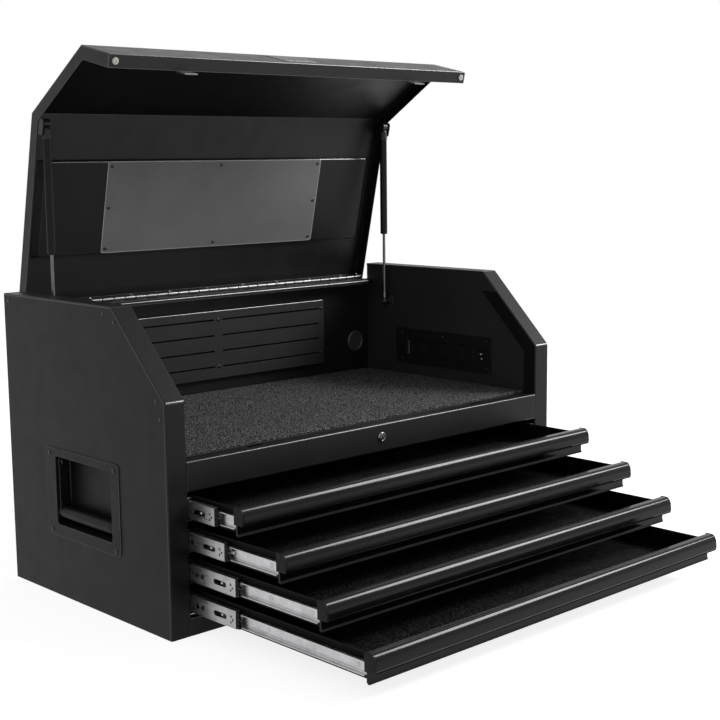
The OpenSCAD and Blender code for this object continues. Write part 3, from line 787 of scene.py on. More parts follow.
class Palette:
    """The chest's finishes, made once each."""

    def __init__(self) -> None:
        """Builds every finish."""
        self.shell = PowderCoat("satin_black_powder", (0.006, 0.006, 0.0064)).material()
        self.rail = PowderCoat("rail_black_powder", (0.007, 0.007, 0.0074), shine=0.4).material()
        self.lid = PowderCoat("lid_black_powder", (0.005, 0.005, 0.0053), specular=0.2).material()
        # Lighter copy of the black powder coat for the inner walls: painted light.
        self.lining_painted_light = PowderCoat("inner_wall_powder", (0.021, 0.021, 0.0217), 0.48, 0.2).material()
        # Lighter copy of the black powder coat for the vent pan: painted light.
        self.vent = PowderCoat("vent_pan_powder", (0.0165, 0.0165, 0.017), 0.48, reach=0.0002).material()
        # Darker copy of the black powder coat for the drawer trays: painted shade; its edge colour is a
        # painted highlight.
        self.tray = PowderCoat("tray_black_powder_painted_shade", (0.003, 0.003, 0.0032), 0.5, 0.04, edge=0.02).material()
        # Its edge colour, 0.4, is a painted highlight along the plate's sharp edges.
        plate = PowderCoat("grey_plate_paint", (0.095, 0.095, 0.0965), 0.5, 0.2, edge=0.4, reach=0.003)
        self.plate = plate.material()
        self.pull = Lacquer("black_pull_lacquer", (0.003, 0.003, 0.0033), 0.14).material()
        self.zinc = PlatedSteel("zinc_plated_slide", (0.5, 0.5, 0.51), 0.3).material()
        # Darker copy of the slide zinc for the middle members: painted shade for their darker reflections.
        self.middle_zinc = PlatedSteel("zinc_plated_middle", (0.4, 0.4, 0.41), 0.32).material()
        self.knuckle = PlatedSteel("hinge_knuckle_steel", (0.12, 0.12, 0.123), 0.34, Grain.ACROSS).material()
        self.hook = PlatedSteel("dull_hook_steel", (0.16, 0.16, 0.164), 0.4).material()
        self.rod = PlatedSteel("ground_piston_rod", (0.12, 0.12, 0.123), 0.25, Grain.UPRIGHT).material()
        self.chrome = PlatedSteel("polished_lock_face", (0.2, 0.2, 0.21), 0.14, Grain.EVEN).material()
        self.screw = PlatedSteel("black_oxide_screw", (0.04, 0.04, 0.042), 0.32, Grain.EVEN).material()
        self.pale_screw = PlatedSteel("plated_screw", (0.036, 0.036, 0.037), 0.2, Grain.EVEN).material()
        self.plastic = Moulded("black_moulding", (0.004, 0.004, 0.0045), specular=0.12).material()
        self.socket = Moulded("dark_socket", (0.008, 0.008, 0.008), 0.35, specular=0.25).material()
        self.tube = Lacquer("black_strut_tube", (0.004, 0.004, 0.0044), 0.18).material()
        self.bumper = Moulded("pale_bumper", (0.33, 0.32, 0.3), 0.5).material()
        self.strip = Moulded("strip_moulding", (0.008, 0.008, 0.0085), 0.45, specular=0.2).material()
        self.bushing = Moulded("grey_bushing", (0.03, 0.03, 0.031), 0.4).material()
        self.rocker = Moulded("glossy_rocker", (0.01, 0.01, 0.011), 0.2, 0.00001).material()
        self.lens = Moulded("clear_lens", (0.12, 0.12, 0.12), 0.25, 0.00001).material()
        # White dots where the rocker shows two glints: painted highlights.
        self.mark = Moulded("white_painted_glints", (0.75, 0.75, 0.75), 0.3, 0.00001).material()
        self.mat = PebbledMat("pebbled_mat", (0.008, 0.008, 0.0085), (0.3, 0.3, 0.302), 340.0).material()
        # Darker copy of the pebbled mat for the drawer floors: painted shade.
        drawer_mat = PebbledMat("drawer_mat", (0.002, 0.002, 0.0021), (0.03, 0.03, 0.0305), 260.0)
        self.drawer_mat = drawer_mat.material()


@dataclass(frozen=True)
class Dress:
    """How a shape is turned into a piece."""

    material: bpy.types.Material
    body: str
    slot: str
    bevel: float = 0.0
    crease: float = 35.0


# Millimetres in a metre, and the distance in metres below which points are joined.
PER_METRE = 1000
WELD = 1e-6

# A face of a rounded fold: its angles to its neighbours, its least length and its greatest width.
FOLD_BENDS = (0.12, 0.7)
FOLD_LENGTH = 0.012
FOLD_WIDTH = 0.0013


def make(name: str, shape: Shape, dress: Dress, replaces: Sequence[str] = ()) -> bpy.types.Object:
    """Turns a shape into a piece of the scene.

    Args:
        name: Name of the piece.
        shape: Its faces in chest millimetres.
        dress: Its finish, body and edges.
        replaces: Nodes that it stands for.

    Returns:
        The new object.
    """
    mesh = bpy.data.meshes.new(name)
    half = CHEST.depth / 2
    points = [(x / PER_METRE, (y - half) / PER_METRE, z / PER_METRE) for x, y, z in shape.points]
    mesh.from_pydata(points, [], shape.faces)
    work = bmesh.new()
    work.from_mesh(mesh)
    bmesh.ops.remove_doubles(work, verts=work.verts, dist=WELD)
    bmesh.ops.recalc_face_normals(work, faces=work.faces)
    work.to_mesh(mesh)
    work.free()
    mark_folds(mesh)
    mesh.shade_smooth()
    mesh.set_sharp_from_angle(angle=math.radians(dress.crease))
    piece = bpy.data.objects.new(name, mesh)
    bpy.context.scene.collection.objects.link(piece)
    mesh.materials.append(dress.material)
    if dress.bevel:
        soften(piece, dress.bevel)
    piece.modifiers.new("even_shading", "WEIGHTED_NORMAL").keep_sharp = True
    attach(piece, dress.body)
    if replaces:
        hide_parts(*replaces)
    log.info("%s: %d faces on %s", name, len(mesh.polygons), dress.body)
    return piece


def mark_folds(mesh: bpy.types.Mesh) -> None:
    """Marks the narrow faces of rounded folds that run across the chest, for finishes that shine there.

    Args:
        mesh: The mesh.
    """
    work = bmesh.new()
    work.from_mesh(mesh)
    layer = work.faces.layers.float.new("fold")
    for face in work.faces:
        bends = [abs(e.calc_face_angle(0.0)) for e in face.edges if len(e.link_faces) == 2]
        bent = sum(FOLD_BENDS[0] < a < FOLD_BENDS[1] for a in bends) >= 2
        long = max(face.edges, key=lambda e: e.calc_length())
        run = long.verts[1].co - long.verts[0].co
        across = abs(run.x) > 0.7 * run.length and run.length > FOLD_LENGTH
        narrow = min(e.calc_length() for e in face.edges) < FOLD_WIDTH
        face[layer] = 1.0 if bent and across and narrow and len(face.verts) == 4 else 0.0
    work.to_mesh(mesh)
    work.free()


def soften(piece: bpy.types.Object, width: float) -> None:
    """Rounds a piece's sharp edges.

    Args:
        piece: The object.
        width: Width of the rounding in millimetres.
    """
    bevel = piece.modifiers.new("soft_edges", "BEVEL")
    bevel.width = width / PER_METRE
    bevel.segments = 2
    bevel.limit_method = "ANGLE"
    bevel.angle_limit = math.radians(38)
    bevel.harden_normals = True


# ---- Fasteners ----


@dataclass(frozen=True)
class PanHead:
    """A screw's or rivet's head with its recess."""

    radius: float = 3.6
    height: float = 1.2
    recess: bool = True

    def shape(self, at: Point3, axis: Axis, sense: int) -> Shape:
        """Builds the head.

        Args:
            at: Point on the seat.
            axis: Axis of the screw.
            sense: Way that the head stands out along it.

        Returns:
            The head's shape.
        """
        r, h = self.radius, self.height
        if not self.recess:
            dome = [(-0.4, r * 0.6), (0, r), (h * 0.35, r * 0.97), (h * 0.7, r * 0.8)]
            dome += [(h * 0.93, r * 0.5), (h, 0.0)]
            return Shape().turned(dome, at, axis, sense, 24)
        profile = [(-0.4, r * 0.5), (0, r), (h * 0.45, r * 0.98), (h * 0.85, r * 0.82), (h, r * 0.55)]
        profile += [(h, r * 0.5), (h * 0.35, r * 0.3), (h * 0.3, 0.0)]
        shape = Shape().turned(profile, at, axis, sense, 24)
        half, thick = r * 0.62, 0.3
        for turn in (0.0, math.pi / 2):
            c, s = math.cos(turn), math.sin(turn)
            arm = [(half * c - thick * s, half * s + thick * c)]
            arm.append((-half * c - thick * s, -half * s + thick * c))
            loops = []
            for along, wide in ((h * 0.3, 0.6), (h * 0.62, 1.0)):
                loop = [(u * wide, v * wide) for u, v in arm] + [(-u * wide, -v * wide) for u, v in arm]
                loops.append([add(at, place(u, v, along * sense, axis)) for u, v in loop])
            shape.rings(loops)
        return shape


def add(a: Point3, b: Point3) -> Point3:
    """Sum of two points."""
    return (a[0] + b[0], a[1] + b[1], a[2] + b[2])


# ---- Cabinet ----


@dataclass
class Cabinet:
    """The fixed steel box: sides, rear, base, rails and the parts screwed to them."""

    palette: Palette
    face_w: float = 38.0
    return_d: float = 31.0
    fold: float = 2.6
    bend: float = 5.0
    liner_gap: float = 2.5
    mat_x: float = 415.0
    mat_y: tuple[float, float] = (29.0, 472.8)
    mat_t: float = 3.0
    grab_y: tuple[float, float] = (156.0, 327.0)
    grab_z: tuple[float, float] = (127.0, 246.0)
    grab_depth: float = 30.0
    grab_t: float = 1.5
    vent_half: float = 281.0
    vent_y: float = 464.5
    vent_z: tuple[float, float] = (309.2, 446.2)
    vent_rows: tuple[float, ...] = (333.4, 364.7, 396.0, 427.3)
    port: Point2 = (381.0, 346.2)
    rivets: tuple[Point2, ...] = (
        (22.0, 377.0), (13.0, 350.0), (132.0, 490.0), (162.0, 501.0), (462.0, 501.0),
    )

    def build(self) -> None:
        """Builds and dresses every piece of the cabinet."""
        for side in Side:
            self.side_wall(side)
            self.handle_pocket(side)
        self.rear()
        self.base()
        self.front_rail()
        self.compartment()
        self.vents()
        self.bushing()
        self.outlet_strip()
        self.lock_barrel()
        self.fasteners()
        self.strut_lugs()

    def shell(self) -> Dress:
        """Dress of the painted sheet."""
        return Dress(self.palette.shell, "cabinet", "black_paint")

    def side_wall(self, side: Side) -> None:
        """Builds one side: skin, face flange, folds, return and liner.

        Args:
            side: Which side.
        """
        c, r, t, bend = CHEST, self.fold, CHEST.sheet, self.bend
        turns = quarter(5)
        section = [(c.bay_x + r - r * math.cos(a), r - r * math.sin(a)) for a in turns]
        section += [(c.half_w - r + r * math.sin(a), r - r * math.cos(a)) for a in turns]
        inner = [(c.half_w - t, r), (c.half_w - t, t), (c.bay_x + t, t), (c.bay_x + t, r)]
        outline = section + inner
        shape = Shape()
        loops = [[(x, n, 0.0) for x, n in outline]]
        for (y, z), first in ((c.bend_low(bend), 0.0), (c.bend_high(bend), 45.0)):
            for k in range(5):
                a = math.radians(first + 45.0 * k / 4)
                dy, dz = -math.cos(a), math.sin(a)
                loops.append([(x, y + (bend - n) * dy, z + (bend - n) * dz) for x, n in outline])
        loops.append([(x, c.depth, c.height - n) for x, n in outline])
        shape.rings(loops)
        skin = [(r, 0.0), c.bend_low(r), c.bend_high(r), (c.depth, c.height - r), (c.depth, 0.0)]
        skin = fillet(skin, [0, bend - r, bend - r, 0, 0])
        gap = self.grab_t * 2
        (y0, y1), (z0, z1) = self.grab_y, self.grab_z
        hole = rectangle(y0 - gap, z0 - gap, y1 + gap, z1 + gap, 7)
        shape.plate(skin, [hole], Axis.X, c.half_w - t, c.half_w)
        top, deep = c.height - self.face_w, self.return_d
        web = [(r, t), c.bend_low(r), c.slope_point(top, r)]
        web += [c.slope_point(top, deep), c.bend_low(deep), (deep, t)]
        shape.prism(fillet(web, [0, 0, 0, 3, 4, 0], 4), Axis.X, c.bay_x, c.bay_x + t)
        make(f"side_wall_{side.word}", shape.on(side), self.shell(), [f"side_panel_{side.word}"])
        self.liner(side)

    def liner(self, side: Side) -> None:
        """Builds one inner wall.

        Args:
            side: Which side.
        """
        c, n = CHEST, self.liner_gap
        top = c.height - c.sheet
        outline = [
            (n, c.sheet),
            c.bend_low(n),
            c.slope_point(top, n),
            (c.back_y, top),
            (c.back_y, c.sheet),
        ]
        holes = []
        if side is Side.RIGHT:
            holes = [rectangle(*c.strip_window, 3)]
        shape = Shape().plate(outline, holes, Axis.X, c.liner_x, c.liner_x + c.sheet, 0.2)
        # The inner wall's lighter colour is painted light.
        dress = Dress(self.palette.lining_painted_light, "cabinet", "black_paint")
        make(f"inner_wall_{side.word}", shape.on(side), dress, [f"liner_{side.word}"])

    def handle_pocket(self, side: Side) -> None:
        """Builds one handle's plate, pocket and pivot rivets.

        Args:
            side: Which side.
        """
        c, t = CHEST, self.grab_t
        (y0, y1), (z0, z1) = self.grab_y, self.grab_z
        x = c.half_w
        outline = rectangle(y0 - 24, z0 - 20, y1 + 28, z1 + 14, 9)
        holes = [rectangle(y0, z0, y1, z1, 6)]
        holes += [ring(y, z, 1.9, 20) for y, z in self.grab_screws()]
        shape = Shape().plate(outline, holes, Axis.X, x, x + t, 0.45)
        rim = rectangle(y0 + 0.2, z0 + 0.2, y1 - 0.2, z1 - 0.2, 6)
        outer = rectangle(y0 - t, z0 - t, y1 + t, z1 + t, 7.5)
        back = x - self.grab_depth
        floor_r = 4.0
        loops = [[(x + t - 0.4, u, v) for u, v in rim]]
        for a in quarter(4):
            d = floor_r * (1 - math.cos(a))
            depth = back + t + floor_r * (1 - math.sin(a))
            inset = rectangle(y0 + 0.2 + d, z0 + 0.2 + d, y1 - 0.2 - d, z1 - 0.2 - d, 6)
            loops.append([(depth, u, v) for u, v in inset])
        shape.rings(loops, caps=False)
        last = loops[-1]
        shape.add(last, [list(range(len(last)))])
        shape.rings([[(x, u, v) for u, v in outer], [(back, u, v) for u, v in outer]], caps=False)
        shape.add([(back, u, v) for u, v in outer], [list(range(len(outer)))])
        for y, sense in ((y0, 1), (y1, -1)):
            pin = [(-0.5, 2.5), (4.6, 2.5), (4.65, 4.2), (5.0, 4.2), (5.6, 3.0), (5.7, 0.0)]
            shape.turned(pin, (x - 11.3, y, z1 - 11), Axis.Y, sense, 28)
        make(f"handle_recess_{side.word}", shape.on(side), self.shell(), [f"handle_pocket_{side.word}"])
        heads = Shape()
        for y, sense in ((y0, 1), (y1, -1)):
            head = [(5.7, 0.0), (5.7, 3.0), (5.9, 2.9), (6.5, 1.8), (6.7, 0.0)]
            heads.turned(head, (x - 11.3, y, z1 - 11), Axis.Y, sense, 24)
        dress = Dress(self.palette.pale_screw, "cabinet", "black_paint")
        make(f"handle_rivets_{side.word}", heads.on(side), dress)

    def grab_screws(self) -> Outline:
        """Places of a handle plate's screws."""
        (y0, y1), (z0, z1) = self.grab_y, self.grab_z
        return [(y, z) for y in (y0 - 10, y1 + 16) for z in (z0 - 12, z1 + 3)]

    def rear(self) -> None:
        """Builds the rear sheet with the shelf that carries the hinge."""
        c = CHEST
        skin = c.half_w - c.sheet
        outline = [(-skin, 0.0), (skin, 0.0), (skin, c.height - c.sheet), (c.liner_x, c.height - c.sheet)]
        outline += [(c.liner_x, c.shelf_z - 2.4), (-c.liner_x, c.shelf_z - 2.4)]
        outline += [(-c.liner_x, c.height - c.sheet), (-skin, c.height - c.sheet)]
        holes = [ring(self.port[0], self.port[1], 19, 40)]
        for z in self.vent_rows:
            low = z - 15.65
            holes += [oval(10, 266, low, 2.0), oval(-266, -10, low, 2.0)]
        shape = Shape().plate(outline, holes, Axis.Y, c.back_y, c.depth, 0.15)
        top, front, end = c.shelf_z, c.depth - 37.5, c.bay_x - 30
        path = [(c.depth, top - 2.6), (c.depth, top), (front, top), (front, top - 7)]
        shape.prism(bent_sheet(path, c.sheet, 2.4), Axis.X, -end, end)
        strip = bent_sheet([(c.depth, top - 2.6), (c.depth, top), (c.depth - 22, top)], c.sheet, 2.4)
        shape.prism(strip, Axis.X, end, c.liner_x)
        shape.prism(strip, Axis.X, -c.liner_x, -end)
        make("rear_sheet", shape, self.shell(), ["back_panel"])

    def base(self) -> None:
        """Builds the bottom sheet and the toe rail."""
        c = CHEST
        skin = c.half_w - c.sheet
        shape = Shape().block((-skin, c.sheet, 0.0), (skin, c.back_y, c.sheet))
        path = [(20.0, 30.0), (0.0, 30.0), (0.0, 0.0)]
        shape.prism(bent_sheet(path, c.sheet, 2.4), Axis.X, -c.bay_x, c.bay_x)
        make("base_sheet", shape, self.shell(), ["base_pan"])

    def front_rail(self) -> None:
        """Builds the rail in front of the compartment, with the slots for the lid's hooks."""
        c = CHEST
        z0, z1 = c.rail_z, c.rail_top
        path = [(7.0, z1), (0.0, z1), (0.0, z0), (20.0, z0)]
        shape = Shape().prism(bent_sheet(path, c.sheet, 2.6), Axis.X, -c.bay_x + 0.05, c.bay_x - 0.05)
        holes = [rectangle(x - 17, 16.5, x + 17, 28.3, 3) for x in (-c.hook_x, c.hook_x)]
        ledge = [(-c.bay_x, 6.0), (c.bay_x, 6.0), (c.bay_x, 40.0), (-c.bay_x, 40.0)]
        shape.plate(ledge, holes, Axis.Z, z1 - c.sheet, z1)
        make("front_rail", shape, Dress(self.palette.rail, "cabinet", "black_paint"), ["top_rail"])

    def compartment(self) -> None:
        """Builds the compartment's floor and mat."""
        c = CHEST
        floor = Shape().block((-c.bay_x, 29, c.rail_top), (c.bay_x, c.back_y, c.rail_top + c.sheet))
        floor.block((-c.liner_x, 31, c.rail_top), (c.liner_x, c.back_y, c.rail_top + c.sheet))
        make("floor_sheet", floor, self.shell(), ["compartment_floor"])
        low = c.rail_top + c.sheet
        outline = rectangle(-self.mat_x, self.mat_y[0], self.mat_x, self.mat_y[1], 4)
        mat = Shape().plate(outline, [], Axis.Z, low, low + self.mat_t, 0.8)
        make("bench_mat", mat, Dress(self.palette.mat, "cabinet", "mat"), ["compartment_mat"])

    def vents(self) -> None:
        """Builds the louvred pan in front of the rear sheet."""
        c, y = CHEST, self.vent_y
        z0, z1 = self.vent_z
        half = self.vent_half
        holes = []
        for z in self.vent_rows:
            holes += [oval(10, 266, z, 2.0), oval(-266, -10, z, 2.0)]
        holes += [ring(x, z, 1.9, 16) for x, z in self.vent_screws()]
        fold = 2.4
        face = rectangle(-half + fold, z0 + fold, half - fold, z1 - fold, 1.0)
        shape = Shape().plate(face, holes, Axis.Y, y, y + c.sheet)
        for z in self.vent_rows:
            for lo, hi in ((12, 264), (-264, -12)):
                lip = [(y + 0.2, z - 4.6), (y - 0.1, z - 2.1), (y + 0.9, z - 1.5)]
                lip += [(y + 1.2, z - 2.0), (y + 1.2, z - 4.6)]
                shape.prism(lip, Axis.X, lo, hi)
        for depth in (0.0, c.sheet):
            loops = []
            for a in quarter(5):
                inset = fold - (fold - depth) * math.sin(a)
                along = y + fold - (fold - depth) * math.cos(a)
                rim = rectangle(-half + inset, z0 + inset, half - inset, z1 - inset, 1.0 + fold - inset)
                loops.append([(u, along, v) for u, v in rim])
            loops.append([(u, c.back_y, v) for u, _, v in loops[-1]])
            shape.rings(loops, caps=False)
        # The pan's lighter colour is painted light.
        make("vent_pan", shape, Dress(self.palette.vent, "cabinet", "black_paint"), ["vent_panel"])

    def vent_screws(self) -> Outline:
        """Places of the vent pan's screws."""
        return [(x, z) for x in (-272.0, 0.0, 272.0) for z in (self.vent_rows[0], self.vent_rows[-1])]

    def bushing(self) -> None:
        """Builds the round cable bushing with its split cover."""
        x, z = self.port
        y = CHEST.back_y
        ring_profile = [
            (1.2, 16.2), (1.2, 18.8), (0.0, 18.8), (0.0, 22.6), (-1.0, 23.0), (-2.6, 22.6), (-3.6, 21.4),
            (-4.0, 19.6), (-3.7, 17.4), (-2.6, 16.2),
        ]
        shape = Shape().turned([(-a, r) for a, r in ring_profile], (x, y, z), Axis.Y, -1, 48)
        cover = [(-0.2, 16.1), (-1.6, 16.1), (-2.0, 15.6), (-2.0, 0.0)]
        shape.turned([(-a, r) for a, r in cover], (x, y, z), Axis.Y, -1, 48)
        for k in range(6):
            a = math.pi * k / 6
            du, dv = 14.5 * math.cos(a), 14.5 * math.sin(a)
            shape.tube([(x - du, y - 2.1, z - dv), (x + du, y - 2.1, z + dv)], 0.45, 8)
        dress = Dress(self.palette.bushing, "cabinet", "black_plastic")
        make("cable_bushing", shape, dress, ["cable_grommet"])

    def outlet_strip(self) -> None:
        """Builds the outlet strip set in the right wall."""
        x = CHEST.liner_x
        (y0, y1), (z0, z1) = CHEST.strip_y, CHEST.strip_z
        inner = CHEST.strip_window
        switch_y, middle = CHEST.switch
        screws = [ring(y, z, 1.9, 16) for y, z in self.strip_screws()]
        openings = [rectangle(*inner, 4), *screws]
        shape = Shape().plate(rectangle(y0, z0, y1, z1, 5), openings, Axis.X, x - 1.5, x, 0.4)
        bezel = rectangle(inner[0] + 0.5, inner[1] + 0.5, inner[2] - 0.5, inner[3] - 0.5, 3.4)
        outlets = [switch_y + 38 + i * 36 for i in range(5)]
        holes = [rectangle(switch_y - 7.5, middle - 12, switch_y + 7.5, middle + 12, 1.5)]
        for y in outlets:
            holes.append(rectangle(y - 7.4, middle - 1, y - 5.4, middle + 7, 0.3))
            holes.append(rectangle(y + 5.4, middle - 1, y + 7.4, middle + 6, 0.3))
            holes.append(ring(y, middle - 8, 2.4, 16))
        shape.plate(bezel, holes, Axis.X, x + 0.2, x + 3.0, 0.4)
        for y in outlets:
            shape.plate(
                rectangle(y - 15, middle - 14, y + 15, middle + 14, 6),
                [rectangle(y - 12.4, middle - 12, y + 12.4, middle + 11.4, 4)],
                Axis.X, x - 0.5, x + 0.4, 0.35,
            )
        shape.block((x + 3.0, inner[0] + 0.5, inner[1] + 0.5), (x + 28, inner[2] - 0.5, inner[3] - 0.5))
        make("outlet_bar", shape, Dress(self.palette.strip, "cabinet", "black_plastic"), ["power_strip"])
        lens = rectangle(inner[2] - 6.5, inner[1] + 4, inner[2] - 3.5, inner[3] - 4, 1.2)
        lens_dress = Dress(self.palette.lens, "cabinet", "black_plastic")
        make("outlet_bar_lens", Shape().plate(lens, [], Axis.X, x - 0.4, x + 0.3, 0.25), lens_dress)

    def strip_screws(self) -> Outline:
        """Places of the outlet strip's screws."""
        (y0, y1), (z0, z1) = CHEST.strip_y, CHEST.strip_z
        return [(y, z) for y in (y0 + 16, (y0 + y1) / 2, y1 - 16) for z in (z0 + 9.5, z1 - 10.5)]

    def lock_barrel(self) -> None:
        """Builds the lock's face ring and barrel."""
        at = (0.0, 0.0, CHEST.lock_z)
        profile = [
            (-22.0, 5.3), (-22.0, 7.4), (-0.4, 7.4), (0.0, 8.8), (0.8, 9.0), (1.5, 8.6),
            (2.0, 7.7), (1.9, 6.6), (1.1, 5.9), (0.9, 5.2), (-21.8, 5.2),
        ]
        shape = Shape().turned([(-a, r) for a, r in profile], at, Axis.Y, 1, 48)
        make("lock_barrel", shape, Dress(self.palette.chrome, "cabinet", "lock_chrome"), ["lock_body"])

    def fasteners(self) -> None:
        """Builds the screws and rivets of the sides, plates, pan and strip."""
        c = CHEST
        rivet = PanHead(3.3, 1.1, False)
        screw = PanHead(3.9, 1.2)
        shape = Shape()
        for y, z in self.rivets:
            shape.join(rivet.shape((c.half_w, y, z), Axis.X, 1).both())
        for y, z in self.grab_screws():
            shape.join(screw.shape((c.half_w + self.grab_t, y, z), Axis.X, 1).both())
        small = PanHead(3.5, 1.2)
        for y, z in self.strip_screws():
            shape.join(small.shape((c.liner_x - 1.5, y, z), Axis.X, -1))
        for x, z in self.vent_screws():
            shape.join(PanHead(3.5, 1.4).shape((x, self.vent_y, z), Axis.Y, -1))
        dress = Dress(self.palette.pale_screw, "cabinet", "bright_steel")
        make("sheet_fasteners", shape, dress, ["cabinet_screws"])

    def strut_lugs(self) -> None:
        """Builds the lugs and studs under the gas struts."""
        c = CHEST
        y, z = c.strut_foot
        x = c.liner_x
        corners = [(y - 10, z - 17), (y + 10, z - 17), (y + 10, z + 10), (y - 10, z + 10)]
        outline = fillet(corners, [3, 3, 9, 9], 6)
        holes = [ring(y, z - 12, 1.8, 16)]
        shape = Shape().plate(outline, holes, Axis.X, x - 2, x, 0.4)
        stud = [(-2.2, 6.2), (-6.0, 6.2), (-6.6, 4.0), (-24.2, 4.0), (-24.7, 3.4), (-24.7, 0.0)]
        shape.turned([(0.0, 6.2), *stud], (x, y, z), Axis.X, 1, 28)
        shape.join(PanHead(3.0, 1.2).shape((x - 2, y, z - 12), Axis.X, -1))
        # The lugs take the inner walls' lighter colour, which is painted light.
        dress = Dress(self.palette.lining_painted_light, "cabinet", "zinc")
        make("strut_lugs", shape.both(), dress, ["strut_studs_cabinet"])


# ---- Hinge ----


@dataclass
class PianoHinge:
    """The continuous hinge: two leaves with rolled knuckles and the pin."""

    palette: Palette
    length: float = 810.0
    knuckles: int = 33
    radius: float = 4.2
    leaf: float = 1.0
    gap: float = 1.8

    def build(self) -> None:
        """Builds both leaves and the pin."""
        c = CHEST
        y, z = c.hinge_y, c.hinge_z
        half, low, high = self.length / 2, c.shelf_z, c.shelf_z + self.leaf
        lower = Shape().block((-half, y - 21, low), (half, y - 4.6, high))
        straps = self.row(0, lambda out, x0, x1: out.block((x0, y - 4.7, low), (x1, y, high)))
        for k in range(9):
            at = (-half + (k + 0.5) * self.length / 9, y - 13, high)
            lower.join(PanHead(3.0, 0.9).shape(at, Axis.Z, 1))
        dress = Dress(self.palette.shell, "cabinet", "bright_steel", 0.15)
        make("hinge_lower_leaf", lower, dress, ["hinge_leaf_cabinet"])
        make("hinge_lower_knuckles", straps, Dress(self.palette.knuckle, "cabinet", "bright_steel"))
        upper = Shape().block((-half, y + 3.2, z + 4.7), (half, y + 4.2, c.height - 3))
        straps = self.row(1, lambda out, x0, x1: out.block((x0, y + 3.2, z), (x1, y + 4.2, z + 4.8)))
        dress = Dress(self.palette.shell, "lid", "bright_steel", 0.15)
        make("hinge_upper_leaf", upper.opened(), dress, ["hinge_leaf_lid"])
        make("hinge_upper_knuckles", straps.opened(), Dress(self.palette.knuckle, "lid", "bright_steel"))
        end = self.length
        rod = [(0, 0.0), (0, 1.6), (0.5, 2.0), (end - 0.5, 2.0), (end, 1.6), (end, 0.0)]
        pin = Shape().turned(rod, (-half, y, z), Axis.X, 1, 20)
        make("hinge_rod", pin, Dress(self.palette.rod, "cabinet", "bright_steel"), ["hinge_pin"])

    def row(self, first: int, strap: Callable[[Shape, float, float], Shape]) -> Shape:
        """Builds every second knuckle with the strap that joins it to its leaf.

        Args:
            first: Position of the first knuckle.
            strap: Adds the strap between two x.

        Returns:
            The knuckles with their straps.
        """
        shape = Shape()
        wide = self.length / self.knuckles
        at = (0.0, CHEST.hinge_y, CHEST.hinge_z)
        for i in range(first, self.knuckles, 2):
            x0 = -self.length / 2 + i * wide + self.gap / 2
            x1 = x0 + wide - self.gap
            shell = [(x0, 2.1), (x0, self.radius - 0.2), (x0 + 0.3, self.radius), (x1 - 0.3, self.radius)]
            shape.turned([*shell, (x1, self.radius - 0.2), (x1, 2.1)], at, Axis.X, 1, 28)
            strap(shape, x0, x1)
        return shape


# ---- Lid ----


